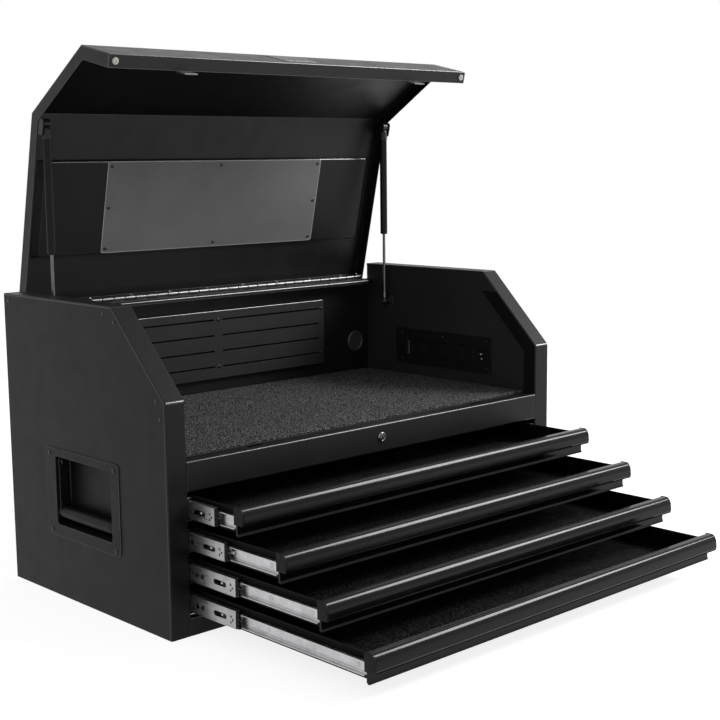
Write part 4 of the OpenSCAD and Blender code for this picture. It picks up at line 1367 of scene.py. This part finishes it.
@dataclass
class Lid:
    """The lift-up lid with its stiffener, blank plate, bumpers and hooks."""

    palette: Palette
    half: float = 414.3
    low: float = 291.2
    flange: float = 22.5
    fold: float = 2.6
    rear: float = 482.0
    edge: float = 490.3
    pan_x: float = 397.0
    pan_y: tuple[float, float] = (220.0, 396.0)
    plate_x: float = 257.0
    plate_y: tuple[float, float] = (222.0, 394.0)
    badge_x: float = 37.5
    badge_z: tuple[float, float] = (309.0, 366.0)
    stud: Point2 = (149.8, 485.0)

    def build(self) -> None:
        """Builds and dresses every piece of the lid."""
        self.shell()
        self.stiffener()
        self.blank_plate()
        self.screws()
        self.bumpers()
        self.hooks()
        self.studs()
        self.badge()

    def dress(self, material: bpy.types.Material, slot: str, bevel: float = 0.0) -> Dress:
        """Dress of a piece that rides on the lid."""
        return Dress(material, "lid", slot, bevel)

    def shell(self) -> None:
        """Builds the folded skin with its side, front and rear flanges."""
        c, t, r = CHEST, CHEST.sheet, self.fold
        right = [(self.half - r + r * math.sin(a), r - r * math.cos(a)) for a in quarter(5)]
        right.append((self.half, self.flange))
        core = [(self.half - t, self.flange), (self.half - t, t)]
        section = [(-x, n) for x, n in reversed(right)] + right + core + [(-x, n) for x, n in reversed(core)]

        def front_end(n: float) -> Point2:
            """Front edge of the section at depth n, cut back where the front fold begins."""
            return (n, self.low + (r if n < r else 0.0))

        def rear_end(n: float) -> Point2:
            """Rear edge of the section at depth n, cut back where the rear fold begins."""
            return (self.rear - (r if n < r else 0.0), c.height - n)

        paths = (front_end, c.bend_low, c.bend_high, rear_end)
        shape = Shape().rings([[(x, *path(n)) for x, n in section] for path in paths])
        front = [(0.0, self.low + r), (0.0, self.low), (self.flange, self.low)]
        inside = self.half - t - 0.1
        shape.prism(bent_sheet(front, t, r), Axis.X, -inside, inside)
        back = [(self.rear, self.edge), (self.rear, c.height), (self.rear - r, c.height)]
        shape.prism(bent_sheet(back, t, r), Axis.X, -inside, inside)
        make("lid_skin", shape.opened(), self.dress(self.palette.lid, "black_paint"), ["lid_shell"])

    def stiffener(self) -> None:
        """Builds the drawn pan under the lid's top."""
        top = CHEST.height - CHEST.sheet
        x0, (y0, y1) = self.pan_x, self.pan_y
        loops = []
        rims = [(0.0, 0.0, 0.0, 3.0), (0.6, 0.3, 1.4, 3.0), (7.0, 0.9, 5.0, 3.5)]
        for a in quarter(5)[1:]:
            out, turned = math.sin(a), 1 - math.cos(a)
            rims.append((7.0 + 5.0 * out, 0.9 + 3.0 * turned, 5.0 + 3.0 * out, 3.5))
        for ends, sides, drop, radius in rims:
            outline = rectangle(-x0 + ends, y0 + sides, x0 - ends, y1 - sides, radius)
            loops.append([(x, y, top - drop) for x, y in outline])
        shape = Shape().rings(loops)
        dress = self.dress(self.palette.shell, "black_paint")
        make("lid_stiffening_pan", shape.opened(), dress, ["lid_stiffener"])

    def blank_plate(self) -> None:
        """Builds the blank plate on the stiffener."""
        z = CHEST.height - CHEST.sheet - 8
        holes = [ring(x, y, 1.9, 16) for x, y in self.plate_screws()]
        outline = rectangle(-self.plate_x, self.plate_y[0], self.plate_x, self.plate_y[1], 5)
        shape = Shape().plate(outline, holes, Axis.Z, z - 1, z, 0.35)
        make("lid_blank_plate", shape.opened(), self.dress(self.palette.plate, "plate_paint"), ["lid_plate"])

    def plate_screws(self) -> Outline:
        """Places of the blank plate's screws."""
        return [(x * 248.0, 308 + y * 77.0) for x in (-1, 0, 1) for y in (-1, 0, 1) if x or y]

    def screws(self) -> None:
        """Builds the screws of the plate and of the hinge's leaf."""
        z = CHEST.height - CHEST.sheet - 9
        shape = Shape()
        for x, y in self.plate_screws():
            shape.join(PanHead(3.4, 1.4).shape((x, y, z), Axis.Z, -1))
        make("lid_fasteners", shape.opened(), self.dress(self.palette.screw, "dark_screws"), ["lid_screws"])
        row = Shape()
        for k in range(9):
            at = (-405 + (k + 0.5) * 90, self.rear - CHEST.sheet, CHEST.height - 10)
            row.join(PanHead(3.4, 1.4).shape(at, Axis.Y, -1))
        make("lid_hinge_screws", row.opened(), self.dress(self.palette.middle_zinc, "dark_screws"))

    def bumpers(self) -> None:
        """Builds the round bumpers at the ends of the front flange."""
        profile = [(0.0, 5.9), (2.2, 5.8), (2.8, 5.3), (3.0, 4.4), (3.0, 1.5), (2.2, 1.3), (2.2, 0.0)]
        shape = Shape().turned(profile, (self.half - 12, self.flange / 2, self.low), Axis.Z, -1, 32).both()
        make("lid_stops", shape.opened(), self.dress(self.palette.bumper, "bumper"), ["lid_bumpers"])

    def hooks(self) -> None:
        """Builds the latch hooks on the front flange."""
        low, back = self.low, self.flange + 2.4
        foot = low + CHEST.sheet + 2.4
        outline = bent_sheet([(8.5, foot), (back, foot), (back, low - 22)], -2.4, 3.0, 4)
        shape = Shape()
        for side in Side:
            x = side.value * CHEST.hook_x
            shape.prism(outline, Axis.X, x - 13, x + 13)
            shape.join(PanHead(2.8, 1.0).shape((x, 14.5, foot), Axis.Z, 1))
        make("lid_latch_hooks", shape.opened(), self.dress(self.palette.hook, "zinc", 0.3), ["lid_hooks"])

    def studs(self) -> None:
        """Builds the brackets with the studs that the struts' upper eyes lie beside."""
        y, z = self.stud
        x = self.half - CHEST.sheet
        plate = rectangle(y - 9, z - 9, y + 20, z + 20, 5, 5)
        shape = Shape().plate(plate, [ring(y + 13, z + 13, 1.8, 16)], Axis.X, x - 2, x, 0.4)
        profile = [(0.0, 0.0), (0.0, 4.4), (0.5, 5.0), (1.9, 5.0), (1.9, 0.0)]
        shape.turned(profile, (x - 3.8, y, z), Axis.X, 1, 28)
        shape.join(PanHead(3.2, 1.2).shape((x - 2, y + 13, z + 13), Axis.X, -1))
        dress = self.dress(self.palette.socket, "zinc")
        make("lid_strut_studs", shape.both().opened(), dress, ["strut_studs_lid"])

    def badge(self) -> None:
        """Builds the bare badge plate on the middle of the lid's front."""
        outline = rectangle(-self.badge_x, self.badge_z[0], self.badge_x, self.badge_z[1], 4)
        shape = Shape().plate(outline, [], Axis.Y, -1.2, 0.05, 0.35)
        make("lid_badge_plate", shape.opened(), self.dress(self.palette.plate, "plate_paint"))


# ---- Gas struts ----


@dataclass
class GasStrut:
    """One gas strut: rod below, tube above."""

    palette: Palette
    x: float = 401.5
    y: float = CHEST.strut_foot[0]
    foot: float = CHEST.strut_foot[1]
    head: float = 806.0
    tube_len: float = 225.0

    def build(self, side: Side) -> None:
        """Builds the strut of one side.

        Args:
            side: Which side.
        """
        rod_body, tube_body = f"strut_rod_{side.word}_body", f"strut_tube_{side.word}_body"
        dress = Dress(self.palette.rod, rod_body, "bright_steel")
        make(f"strut_piston_{side.word}", self.rod().on(side), dress, [f"strut_rod_{side.word}"])
        dress = Dress(self.palette.tube, tube_body, "black_plastic")
        make(f"strut_cylinder_{side.word}", self.tube().on(side), dress, [f"strut_tube_{side.word}"])
        dress = Dress(self.palette.socket, tube_body, "black_plastic")
        make(f"strut_socket_{side.word}", self.socket().on(side), dress)

    def rod(self) -> Shape:
        """The lower eye with the piston rod."""
        at = (self.x, self.y, self.foot)
        eye = [(-5.0, 4.1), (-5.0, 6.8), (-4.3, 7.4), (4.3, 7.4), (5.0, 6.8), (5.0, 4.1)]
        shank = [(4.4, 0.0), (4.4, 3.6), (7.5, 4.6), (19.0, 4.6), (20.0, 4.0), (20.0, 3.0)]
        shank += [(236.0, 3.0), (236.0, 0.0)]
        return Shape().turned(eye, at, Axis.X, 1, 32).turned(shank, at, Axis.Z, 1, 28)

    def tube(self) -> Shape:
        """The tube with its gland and the groove above it."""
        base, top = self.head - self.tube_len, self.head - 13.0
        body = [
            (base + 4.0, 3.05), (base, 3.05), (base, 6.2), (base + 0.8, 7.1), (base + 4.0, 7.5),
            (base + 9.0, 7.5), (base + 9.6, 7.1), (base + 10.6, 7.1), (base + 11.2, 7.5),
            (top, 7.5), (top, 0.0),
        ]
        return Shape().turned(body, (self.x, self.y, 0.0), Axis.Z, 1, 36)

    def socket(self) -> Shape:
        """The moulded elbow on the tube's top with its eye."""
        top = (self.x, self.y, self.head)
        eye = [(-5.0, 0.0), (-5.0, 6.6), (-4.3, 7.3), (6.8, 7.3), (7.5, 6.6), (7.5, 0.0)]
        collar = [(-12.8, 0.0), (-12.8, 7.45), (-27.0, 7.45), (-26.6, 8.0), (-26.0, 8.2)]
        collar += [(-12.0, 8.2), (-9.0, 7.6), (-6.5, 5.6), (-6.5, 0.0)]
        return Shape().turned(eye, top, Axis.X, 1, 32).turned(collar, top, Axis.Z, 1, 32)


# ---- Drawers ----


@dataclass
class Drawer:
    """One drawer with its pull, its liner and its slides' drawer members."""

    palette: Palette
    number: int
    opening: float
    middle: float
    front_h: float = 46.0
    front_x: float = 417.2
    box_x: float = 405.5
    cap_t: float = 3.0
    length: float = 432.0
    pull_d: float = 18.0
    nose_h: float = 27.0
    member_x: tuple[float, float] = (407.6, 416.2)
    member_y: tuple[float, float] = (4.5, 424.5)

    @property
    def floor(self) -> float:
        """Height of the drawer's lower edge."""
        return CHEST.drawer_z + (len(DRAWERS) - self.number) * CHEST.pitch

    def set(self, shape: Shape, travel: float | None = None) -> Shape:
        """A copy, drawn on the shut drawer from its lower edge, at the drawer's place.

        Args:
            shape: The shape.
            travel: How far it stands forward, or None for the drawer's own opening.

        Returns:
            The moved copy.
        """
        forward = self.opening if travel is None else travel
        return shape.moved(lambda p: (p[0], p[1] - forward, p[2] + self.floor))

    def build(self) -> None:
        """Builds and dresses every piece of the drawer and its slides."""
        self.tray()
        self.pull()
        self.end_caps()
        self.runners()
        self.liner()
        self.middle_members()

    def body(self) -> str:
        """Name of the drawer's body."""
        return f"drawer_{self.number}"

    def piece(self, name: str, shape: Shape, dress: Dress, node: str) -> None:
        """Makes a piece that stands for one node; both are named after the drawer's body.

        Args:
            name: Name of the piece after the body's.
            shape: Its shape on the shut drawer.
            dress: How it is dressed.
            node: Name of the node after the body's.
        """
        make(f"{self.body()}_{name}", self.set(shape), dress, [f"{self.body()}_{node}"])

    def tray(self) -> None:
        """Builds the folded tray with rolled top edges and its front sheet."""
        x, b = self.box_x, 1.0
        shape = Shape()
        top = 40.0
        wall = [(x - 6.0, 2.0), (x, 2.0), (x, top), (x - 3.4, top), (x - 3.4, top - 3.0)]
        outline = bent_sheet(wall, b, 1.4, 4)
        for side in Side:
            shape.prism([(u * side.value, v) for u, v in outline], Axis.Y, 1.0, self.length - 0.1)
        shape.block((-x + 5, 1.0, 2.0), (x - 5, self.length, 3.0))
        end = self.length
        rear = bent_sheet([(end - 6, 2.0), (end, 2.0), (end, top), (end - 3.4, top)], b, 1.4, 4)
        shape.prism(rear, Axis.X, -x + 1.2, x - 1.2)
        half = self.front_x - self.cap_t
        shape.block((-half, 0.0, 1.0), (half, 2.0, self.front_h - 2))
        # The tray's darker black is painted shade.
        dress = Dress(self.palette.tray, self.body(), "black_paint", 0.2)
        self.piece("box", shape, dress, "tray")

    def nose(self, inset: float, steps: int = 12) -> Outline:
        """Outer line of the pull from the drawer's top round to the nose's lower edge.

        Args:
            inset: Distance inwards.
            steps: Straight pieces in the round.

        Returns:
            Points in y and z.
        """
        h, back, down = self.front_h, 10.0, 17.0
        points = [(0.0, h - inset)]
        for a in quarter(steps):
            y = -self.pull_d + back - (back - inset) * math.sin(a)
            points.append((y, h - down + (down - inset) * math.cos(a)))
        points.append((-self.pull_d + inset, h - self.nose_h + 3))
        points.append((-self.pull_d + 2.0 + inset, h - self.nose_h))
        return points

    def pull(self) -> None:
        """Builds the rolled pull and the skirt below it."""
        t, h = 1.8, self.front_h
        outer = self.nose(0.0)
        inner = [p for p in self.nose(t) if p[0] < -t]
        skirt = [(0.0, 0.0), (-3.4, -0.6), (-3.0, 1.6), (-t, 4.4)]
        outline = [*skirt, (-t, h - t), *inner, (-self.pull_d + 1.0, h - self.nose_h - 0.5), *outer[::-1]]
        half = self.front_x - self.cap_t
        shape = Shape().prism(outline, Axis.X, -half, half)
        dress = Dress(self.palette.pull, self.body(), "gloss_pull", 0.0, 30.0)
        self.piece("rolled_pull", shape, dress, "pull")

    def end_caps(self) -> None:
        """Builds the moulded caps at the pull's ends."""
        h, d = self.front_h + 0.4, self.pull_d + 0.4
        low = h - self.nose_h - 1.6
        corners = [(3.6, h), (-d + 6.0, h), (-d + 1.0, h - 10.0)]
        corners += [(-d, low + 6.0), (-d + 1.6, low), (3.6, low)]
        outline = fillet(corners, [1.0, 9.0, 14.0, 8.0, 1.5, 1.0], 8)
        shape = Shape().plate(outline, [], Axis.X, self.front_x - self.cap_t, self.front_x, 0.9)
        dress = Dress(self.palette.plastic, self.body(), "black_plastic")
        self.piece("pull_caps", shape.both(), dress, "end_caps")

    def runners(self) -> None:
        """Builds the drawer members of both slides with their screws."""
        x, z = self.box_x, CHEST.slide_z
        path = [(x + 7.7, z - 10.5), (x, z - 10.5), (x, z + 10.5), (x + 7.7, z + 10.5)]
        shape = Shape().prism(bent_sheet(path, -1.2, 2.4, 5), Axis.Y, 8.0, 424.0)
        for y in (26.0, 118.0, 220.0, 330.0):
            shape.join(PanHead(3.4, 1.1).shape((x + 1.2, y, z), Axis.X, 1))
        dress = Dress(self.palette.zinc, self.body(), "zinc", 0.15)
        self.piece("slide_inner", shape.both(), dress, "runners")

    def liner(self) -> None:
        """Builds the liner on the tray's floor."""
        x = self.box_x - 2.5
        shape = Shape().plate(rectangle(-x, 3.5, x, self.length - 2.5, 3), [], Axis.Z, 3.0, 5.5, 0.6)
        # The drawer floor's darker mat is painted shade.
        dress = Dress(self.palette.drawer_mat, self.body(), "mat")
        self.piece("floor_mat", shape, dress, "liner")

    def middle_members(self) -> None:
        """Builds the middle members of both slides with their ball cages."""
        (x0, x1), (y0, y1), z = self.member_x, self.member_y, CHEST.slide_z
        shape = Shape()
        web0 = y0 + 8.5
        holes = [oval(y0 + 31, y0 + 63, z, 4.2)]
        holes += [oval(y0 + 130 + k * 60, y0 + 155 + k * 60, z, 3.6) for k in range(5)]
        dimples = ((20, 3.6, 2.3), (16, -1.4, 2.0), (20.5, -5.6, 2.0))
        holes += [ring(y0 + y, z + up, r, 16) for y, up, r in dimples]
        holes += [ring(y0 + y, z, 4.0, 20) for y in (91, 105)]
        web = [(web0, z - 12.2), (y1, z - 12.2), (y1, z + 12.2), (web0, z + 12.2)]
        shape.plate(web, holes, Axis.X, x1 - 1.2, x1)
        rivet = [(0.0, 0.0), (0.0, 2.6), (0.8, 2.2), (1.3, 1.2), (1.5, 0.0)]
        shape.turned(rivet, (x1 - 2.7, y0 + 45, z), Axis.X, 1, 20)
        for s in (-1, 1):
            path = [(x1, z + s * 12.0), (x1, z + s * 14.5), (x0, z + s * 14.5)]
            shape.prism(bent_sheet(path, 1.2 * s, 2.3, 5), Axis.Y, web0, y1)
            outer = sorted((z + s * 14.5, z + s * 17.0))
            shape.block((x0 + 2, y1 - 120, outer[0]), (x1 - 2, y1, outer[1]))
            inner = sorted((z + s * 10.8, z + s * 13.3))
            shape.block((x0 + 1, y0 + 10, inner[0]), (x0 + 5.5, y0 + 121, inner[1]))
        body, name = f"slide_mid_{self.number}", f"slide_{self.number}"
        # The middle members' darker zinc is painted shade.
        dress = Dress(self.palette.middle_zinc, body, "zinc", 0.12)
        make(f"{name}_floating", self.set(shape.both(), self.middle), dress, [f"{name}_middle"])
        stop = Shape()
        for k, (low, high) in enumerate(((-12.6, -8.0), (-6.5, -1.5), (1.0, 5.0), (7.0, 12.6))):
            stop.block((x0 + 3 + k % 2, y0 + 0.2 + k % 2, z + low), (x1 - 0.4, web0 - 0.6, z + high))
        stop.block((x0 + 6.0, y0 + 2.6, z - 12.4), (x1 - 1.4, web0 + 1.0, z + 12.4))
        dress = Dress(self.palette.plastic, body, "zinc", 0.3)
        make(f"{name}_stop", self.set(stop.both(), self.middle), dress)


@dataclass
class SlideChannels:
    """The cabinet members of the slides, fixed behind the side flanges."""

    palette: Palette
    lip_x: float = 409.0
    half_h: float = 18.5
    run: tuple[float, float] = (4.5, 442.0)
    spacers: tuple[float, float] = (216.0, 402.0)

    def build(self) -> None:
        """Builds all eight members, with their spacers to the inner walls, as one piece."""
        c, shape = CHEST, Shape()
        for i in range(len(DRAWERS)):
            z = c.drawer_z + i * c.pitch + c.slide_z
            low, high = z - self.half_h, z + self.half_h
            path = [(self.lip_x, high), (c.bay_x, high), (c.bay_x, low), (self.lip_x, low)]
            shape.prism(bent_sheet(path, -c.sheet, 2.6, 5), Axis.Y, *self.run)
            for y in self.spacers:
                shape.block((c.bay_x - 0.1, y, z - 8), (c.liner_x, y + 30, z + 8))
        dress = Dress(self.palette.zinc, "cabinet", "zinc", 0.12)
        make("slide_outer_members", shape.both(), dress, ["slide_channels"])


# ---- Small moving parts ----


@dataclass
class DropHandle:
    """A drop handle: two flat arms and a round grip."""

    palette: Palette
    x: float = 445.7
    pivot_z: float = 235.0
    grip_z: float = 147.0
    arms: tuple[float, float] = (157.2, 322.8)

    def build(self, side: Side) -> None:
        """Builds the handle of one side.

        Args:
            side: Which side.
        """
        shape = Shape()
        for y in self.arms:
            steps = 10
            outline: Outline = []
            for k in range(steps + 1):
                a = math.pi * k / steps
                outline.append((self.x + 8 * math.cos(a), self.pivot_z + 8 * math.sin(a)))
            outline += [(self.x - 7, self.pivot_z - 10), (self.x - 7, self.grip_z + 10)]
            for k in range(steps + 1):
                a = math.pi + math.pi * k / steps
                outline.append((self.x + 9.6 * math.cos(a), self.grip_z + 9.6 * math.sin(a)))
            outline += [(self.x + 7, self.grip_z + 10), (self.x + 7, self.pivot_z - 10)]
            shape.plate(outline, [ring(self.x, self.pivot_z, 2.55, 24)], Axis.Y, y, y + 3, 0.4)
        y0, y1 = self.arms[0] + 2.9, self.arms[1] + 0.1
        middle = (y0 + y1) / 2
        grip = []
        for k in range(25):
            y = y0 + (y1 - y0) * k / 24
            edge = min(y - y0, y1 - y, 6.0)
            swell = 0.5 * math.cos(math.pi * (y - middle) / (y1 - y0))
            grip.append((y, 9.0 + 1.4 * math.sin(math.pi / 2 * edge / 6.0) + swell))
        shape.turned([(y0, 0.0), *grip, (y1, 0.0)], (self.x, 0.0, self.grip_z), Axis.Y, 1, 40)
        dress = Dress(self.palette.shell, f"handle_{side.word}", "black_paint")
        make(f"drop_handle_{side.word}", shape.on(side), dress, [f"handle_bail_{side.word}"])


@dataclass
class SmallControls:
    """The lock's plug and the outlet strip's rocker."""

    palette: Palette
    rocker_x: float = 427.2

    def build(self) -> None:
        """Builds the plug and the rocker."""
        z = CHEST.lock_z
        keyway = rectangle(-0.8, z - 4, 0.8, z + 4, 0.3)
        plug = Shape().plate(ring(0.0, z, 5.0, 40), [keyway], Axis.Y, -2.4, 12.0, 0.3)
        plug.turned([(12.0, 0.0), (12.0, 5.0), (24.6, 5.0), (24.6, 0.0)], (0.0, 0.0, z), Axis.Y, 1, 40)
        plug.plate(rectangle(-5, z - 15, 5, z, 3), [], Axis.Y, 22.4, 24.4, 0.3)
        make("lock_cylinder", plug, Dress(self.palette.chrome, "lock", "lock_chrome"), ["lock_plug"])
        x, (y, mid) = self.rocker_x, CHEST.switch
        outline = [(x, mid - 9), (x - 5, mid - 9.5), (x - 6.2, mid - 5), (x - 6.8, mid)]
        outline += [(x - 7.7, mid + 5), (x - 9.2, mid + 9), (x - 4, mid + 9)]
        rocker = Shape().plate(fillet(outline, 0.5, 2), [], Axis.Y, y - 6.7, y + 6.7, 0.4)
        rocker.turned([(-7.2, 0.0), (-7.2, 5.0), (7.2, 5.0), (7.2, 0.0)], (x, y, mid), Axis.Y, 1, 28)
        make("strip_rocker", rocker, Dress(self.palette.rocker, "rocker", "switch_black"), ["power_switch"])
        # Two white domes on the rocker's face, painted highlights for its two glints.
        dome = [(0.0, 2.2), (0.35, 1.9), (0.6, 0.0)]
        glint_domes = Shape().turned(dome, (x - 5.9, y, mid - 4.6), Axis.X, -1, 16)
        glint_domes.turned(dome, (x - 7.5, y, mid + 4.6), Axis.X, -1, 16)
        make("strip_rocker_painted_glints", glint_domes, Dress(self.palette.mark, "rocker", "switch_black"))


# ---- Studio ----


@dataclass(frozen=True)
class Softbox:
    """A soft lamp: where it stands and what it faces in metres, its sides in metres and its watts."""

    name: str
    at: Point3
    to: Point3
    size: Point2
    power: float


@dataclass
class Studio:
    """Camera, lamps, floor and backdrop."""

    eye: Point3 = (-1.6217, -1.9180, 0.7398)
    azimuth: float = 43.10
    elevation: float = 8.43
    roll: float = -0.61
    lens: float = 67.83
    floor_half: float = 14.0
    floor_glow: float = 1.4
    floor_share: float = 0.6
    fill: float = 0.45
    lamps: tuple[Softbox, ...] = (
        Softbox("key_softbox", (3.1, -2.4, 2.8), (0.0, -0.1, 0.35), (1.8, 1.6), 240.0),
        Softbox("left_softbox", (-3.2, -0.6, 2.6), (-0.3, 0.0, 0.3), (1.2, 1.2), 14.0),
    )

    def build(self) -> None:
        """Sets up the camera, the floor, the world and the lamps."""
        self.camera()
        self.floor()
        self.world()
        for lamp in self.lamps:
            self.lamp(lamp)

    def camera(self) -> None:
        """Places the camera at the photographed angle."""
        az, el, roll = (math.radians(v) for v in (self.azimuth, self.elevation, self.roll))
        ahead = Vector((math.sin(az) * math.cos(el), math.cos(az) * math.cos(el), -math.sin(el)))
        right = ahead.cross(Vector((0, 0, 1))).normalized()
        up = right.cross(ahead)
        r = right * math.cos(roll) + up * math.sin(roll)
        u = up * math.cos(roll) - right * math.sin(roll)
        data = bpy.data.cameras.new("camera")
        data.sensor_fit = "HORIZONTAL"
        data.sensor_width = 36.0
        data.lens = self.lens
        data.clip_start, data.clip_end = 0.05, 60.0
        camera = bpy.data.objects.new("camera", data)
        turn = Matrix((r, u, -ahead)).transposed()
        camera.matrix_world = Matrix.Translation(Vector(self.eye)) @ turn.to_4x4()
        bpy.context.scene.collection.objects.link(camera)
        bpy.context.scene.camera = camera

    def floor(self) -> None:
        """Lays the pale floor."""
        mesh = bpy.data.meshes.new("floor")
        s = self.floor_half
        mesh.from_pydata([(-s, -s, 0), (s, -s, 0), (s, s, 0), (-s, s, 0)], [], [(0, 1, 2, 3)])
        piece = bpy.data.objects.new("floor", mesh)
        bpy.context.scene.collection.objects.link(piece)
        nodes = Nodes("studio_floor")
        nodes.put(Roughness=0.9, Specular_IOR_Level=0.0, Base_Color=(0.92, 0.92, 0.92, 1.0))
        white = nodes.add("Emission", {"Strength": self.floor_glow}).outputs["Emission"]
        share = nodes.add("Math", {1: self.floor_share}, {0: self.seen(nodes.tree)}, operation="MULTIPLY")
        wires = {"Fac": share.outputs["Value"], 1: nodes.shader.outputs["BSDF"], 2: white}
        mix = nodes.add("MixShader", wires=wires)
        nodes.link(mix.outputs["Shader"], nodes.tree.nodes["Material Output"].inputs["Surface"])
        mesh.materials.append(nodes.material)

    def world(self) -> None:
        """Makes the backdrop white to the camera and to mirrors, and the fill light plain."""
        world = bpy.data.worlds.new("studio")
        world.use_nodes = True
        tree = world.node_tree
        tree.nodes.clear()
        wires = {"Fac": self.seen(tree), 1: self.background(tree, self.fill), 2: self.background(tree, 1.0)}
        mix = add_node(tree, "MixShader", wires=wires)
        add_node(tree, "OutputWorld", wires={"Surface": mix.outputs["Shader"]})
        bpy.context.scene.world = world

    @staticmethod
    def seen(tree: bpy.types.NodeTree) -> Socket:
        """Value that is 1 for the rays in which a background shows: camera, glossy and transmission."""
        rays = add_node(tree, "LightPath")
        value = rays.outputs["Is Camera Ray"]
        for name in ("Is Glossy Ray", "Is Transmission Ray"):
            wires = {0: value, 1: rays.outputs[name]}
            value = add_node(tree, "Math", wires=wires, operation="MAXIMUM").outputs["Value"]
        return value

    @staticmethod
    def background(tree: bpy.types.NodeTree, strength: float) -> Socket:
        """White background of the given strength."""
        values = {"Color": (1, 1, 1, 1), "Strength": strength}
        return add_node(tree, "Background", values).outputs["Background"]

    @staticmethod
    def lamp(box: Softbox) -> None:
        """Adds a soft lamp.

        Args:
            box: The lamp.
        """
        data = bpy.data.lights.new(box.name, "AREA")
        data.shape = "RECTANGLE"
        data.size, data.size_y = box.size
        data.energy = box.power
        lamp = bpy.data.objects.new(box.name, data)
        lamp.location = box.at
        lamp.rotation_mode = "QUATERNION"
        lamp.rotation_quaternion = (Vector(box.to) - Vector(box.at)).to_track_quat("-Z", "Y")
        bpy.context.scene.collection.objects.link(lamp)


def main() -> None:
    """Builds the chest's looks in order."""
    logging.basicConfig(level=logging.INFO, format="%(name)s: %(message)s")
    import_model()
    bpy.context.scene.view_settings.view_transform = "Standard"
    Studio().build()
    palette = Palette()
    Cabinet(palette).build()
    PianoHinge(palette).build()
    Lid(palette).build()
    strut = GasStrut(palette)
    handle = DropHandle(palette)
    for side in Side:
        strut.build(side)
        handle.build(side)
    for number, opening, middle in DRAWERS:
        Drawer(palette, number, opening, middle).build()
    SlideChannels(palette).build()
    SmallControls(palette).build()
    bpy.context.view_layer.update()


if __name__ == "__main__":
    main()
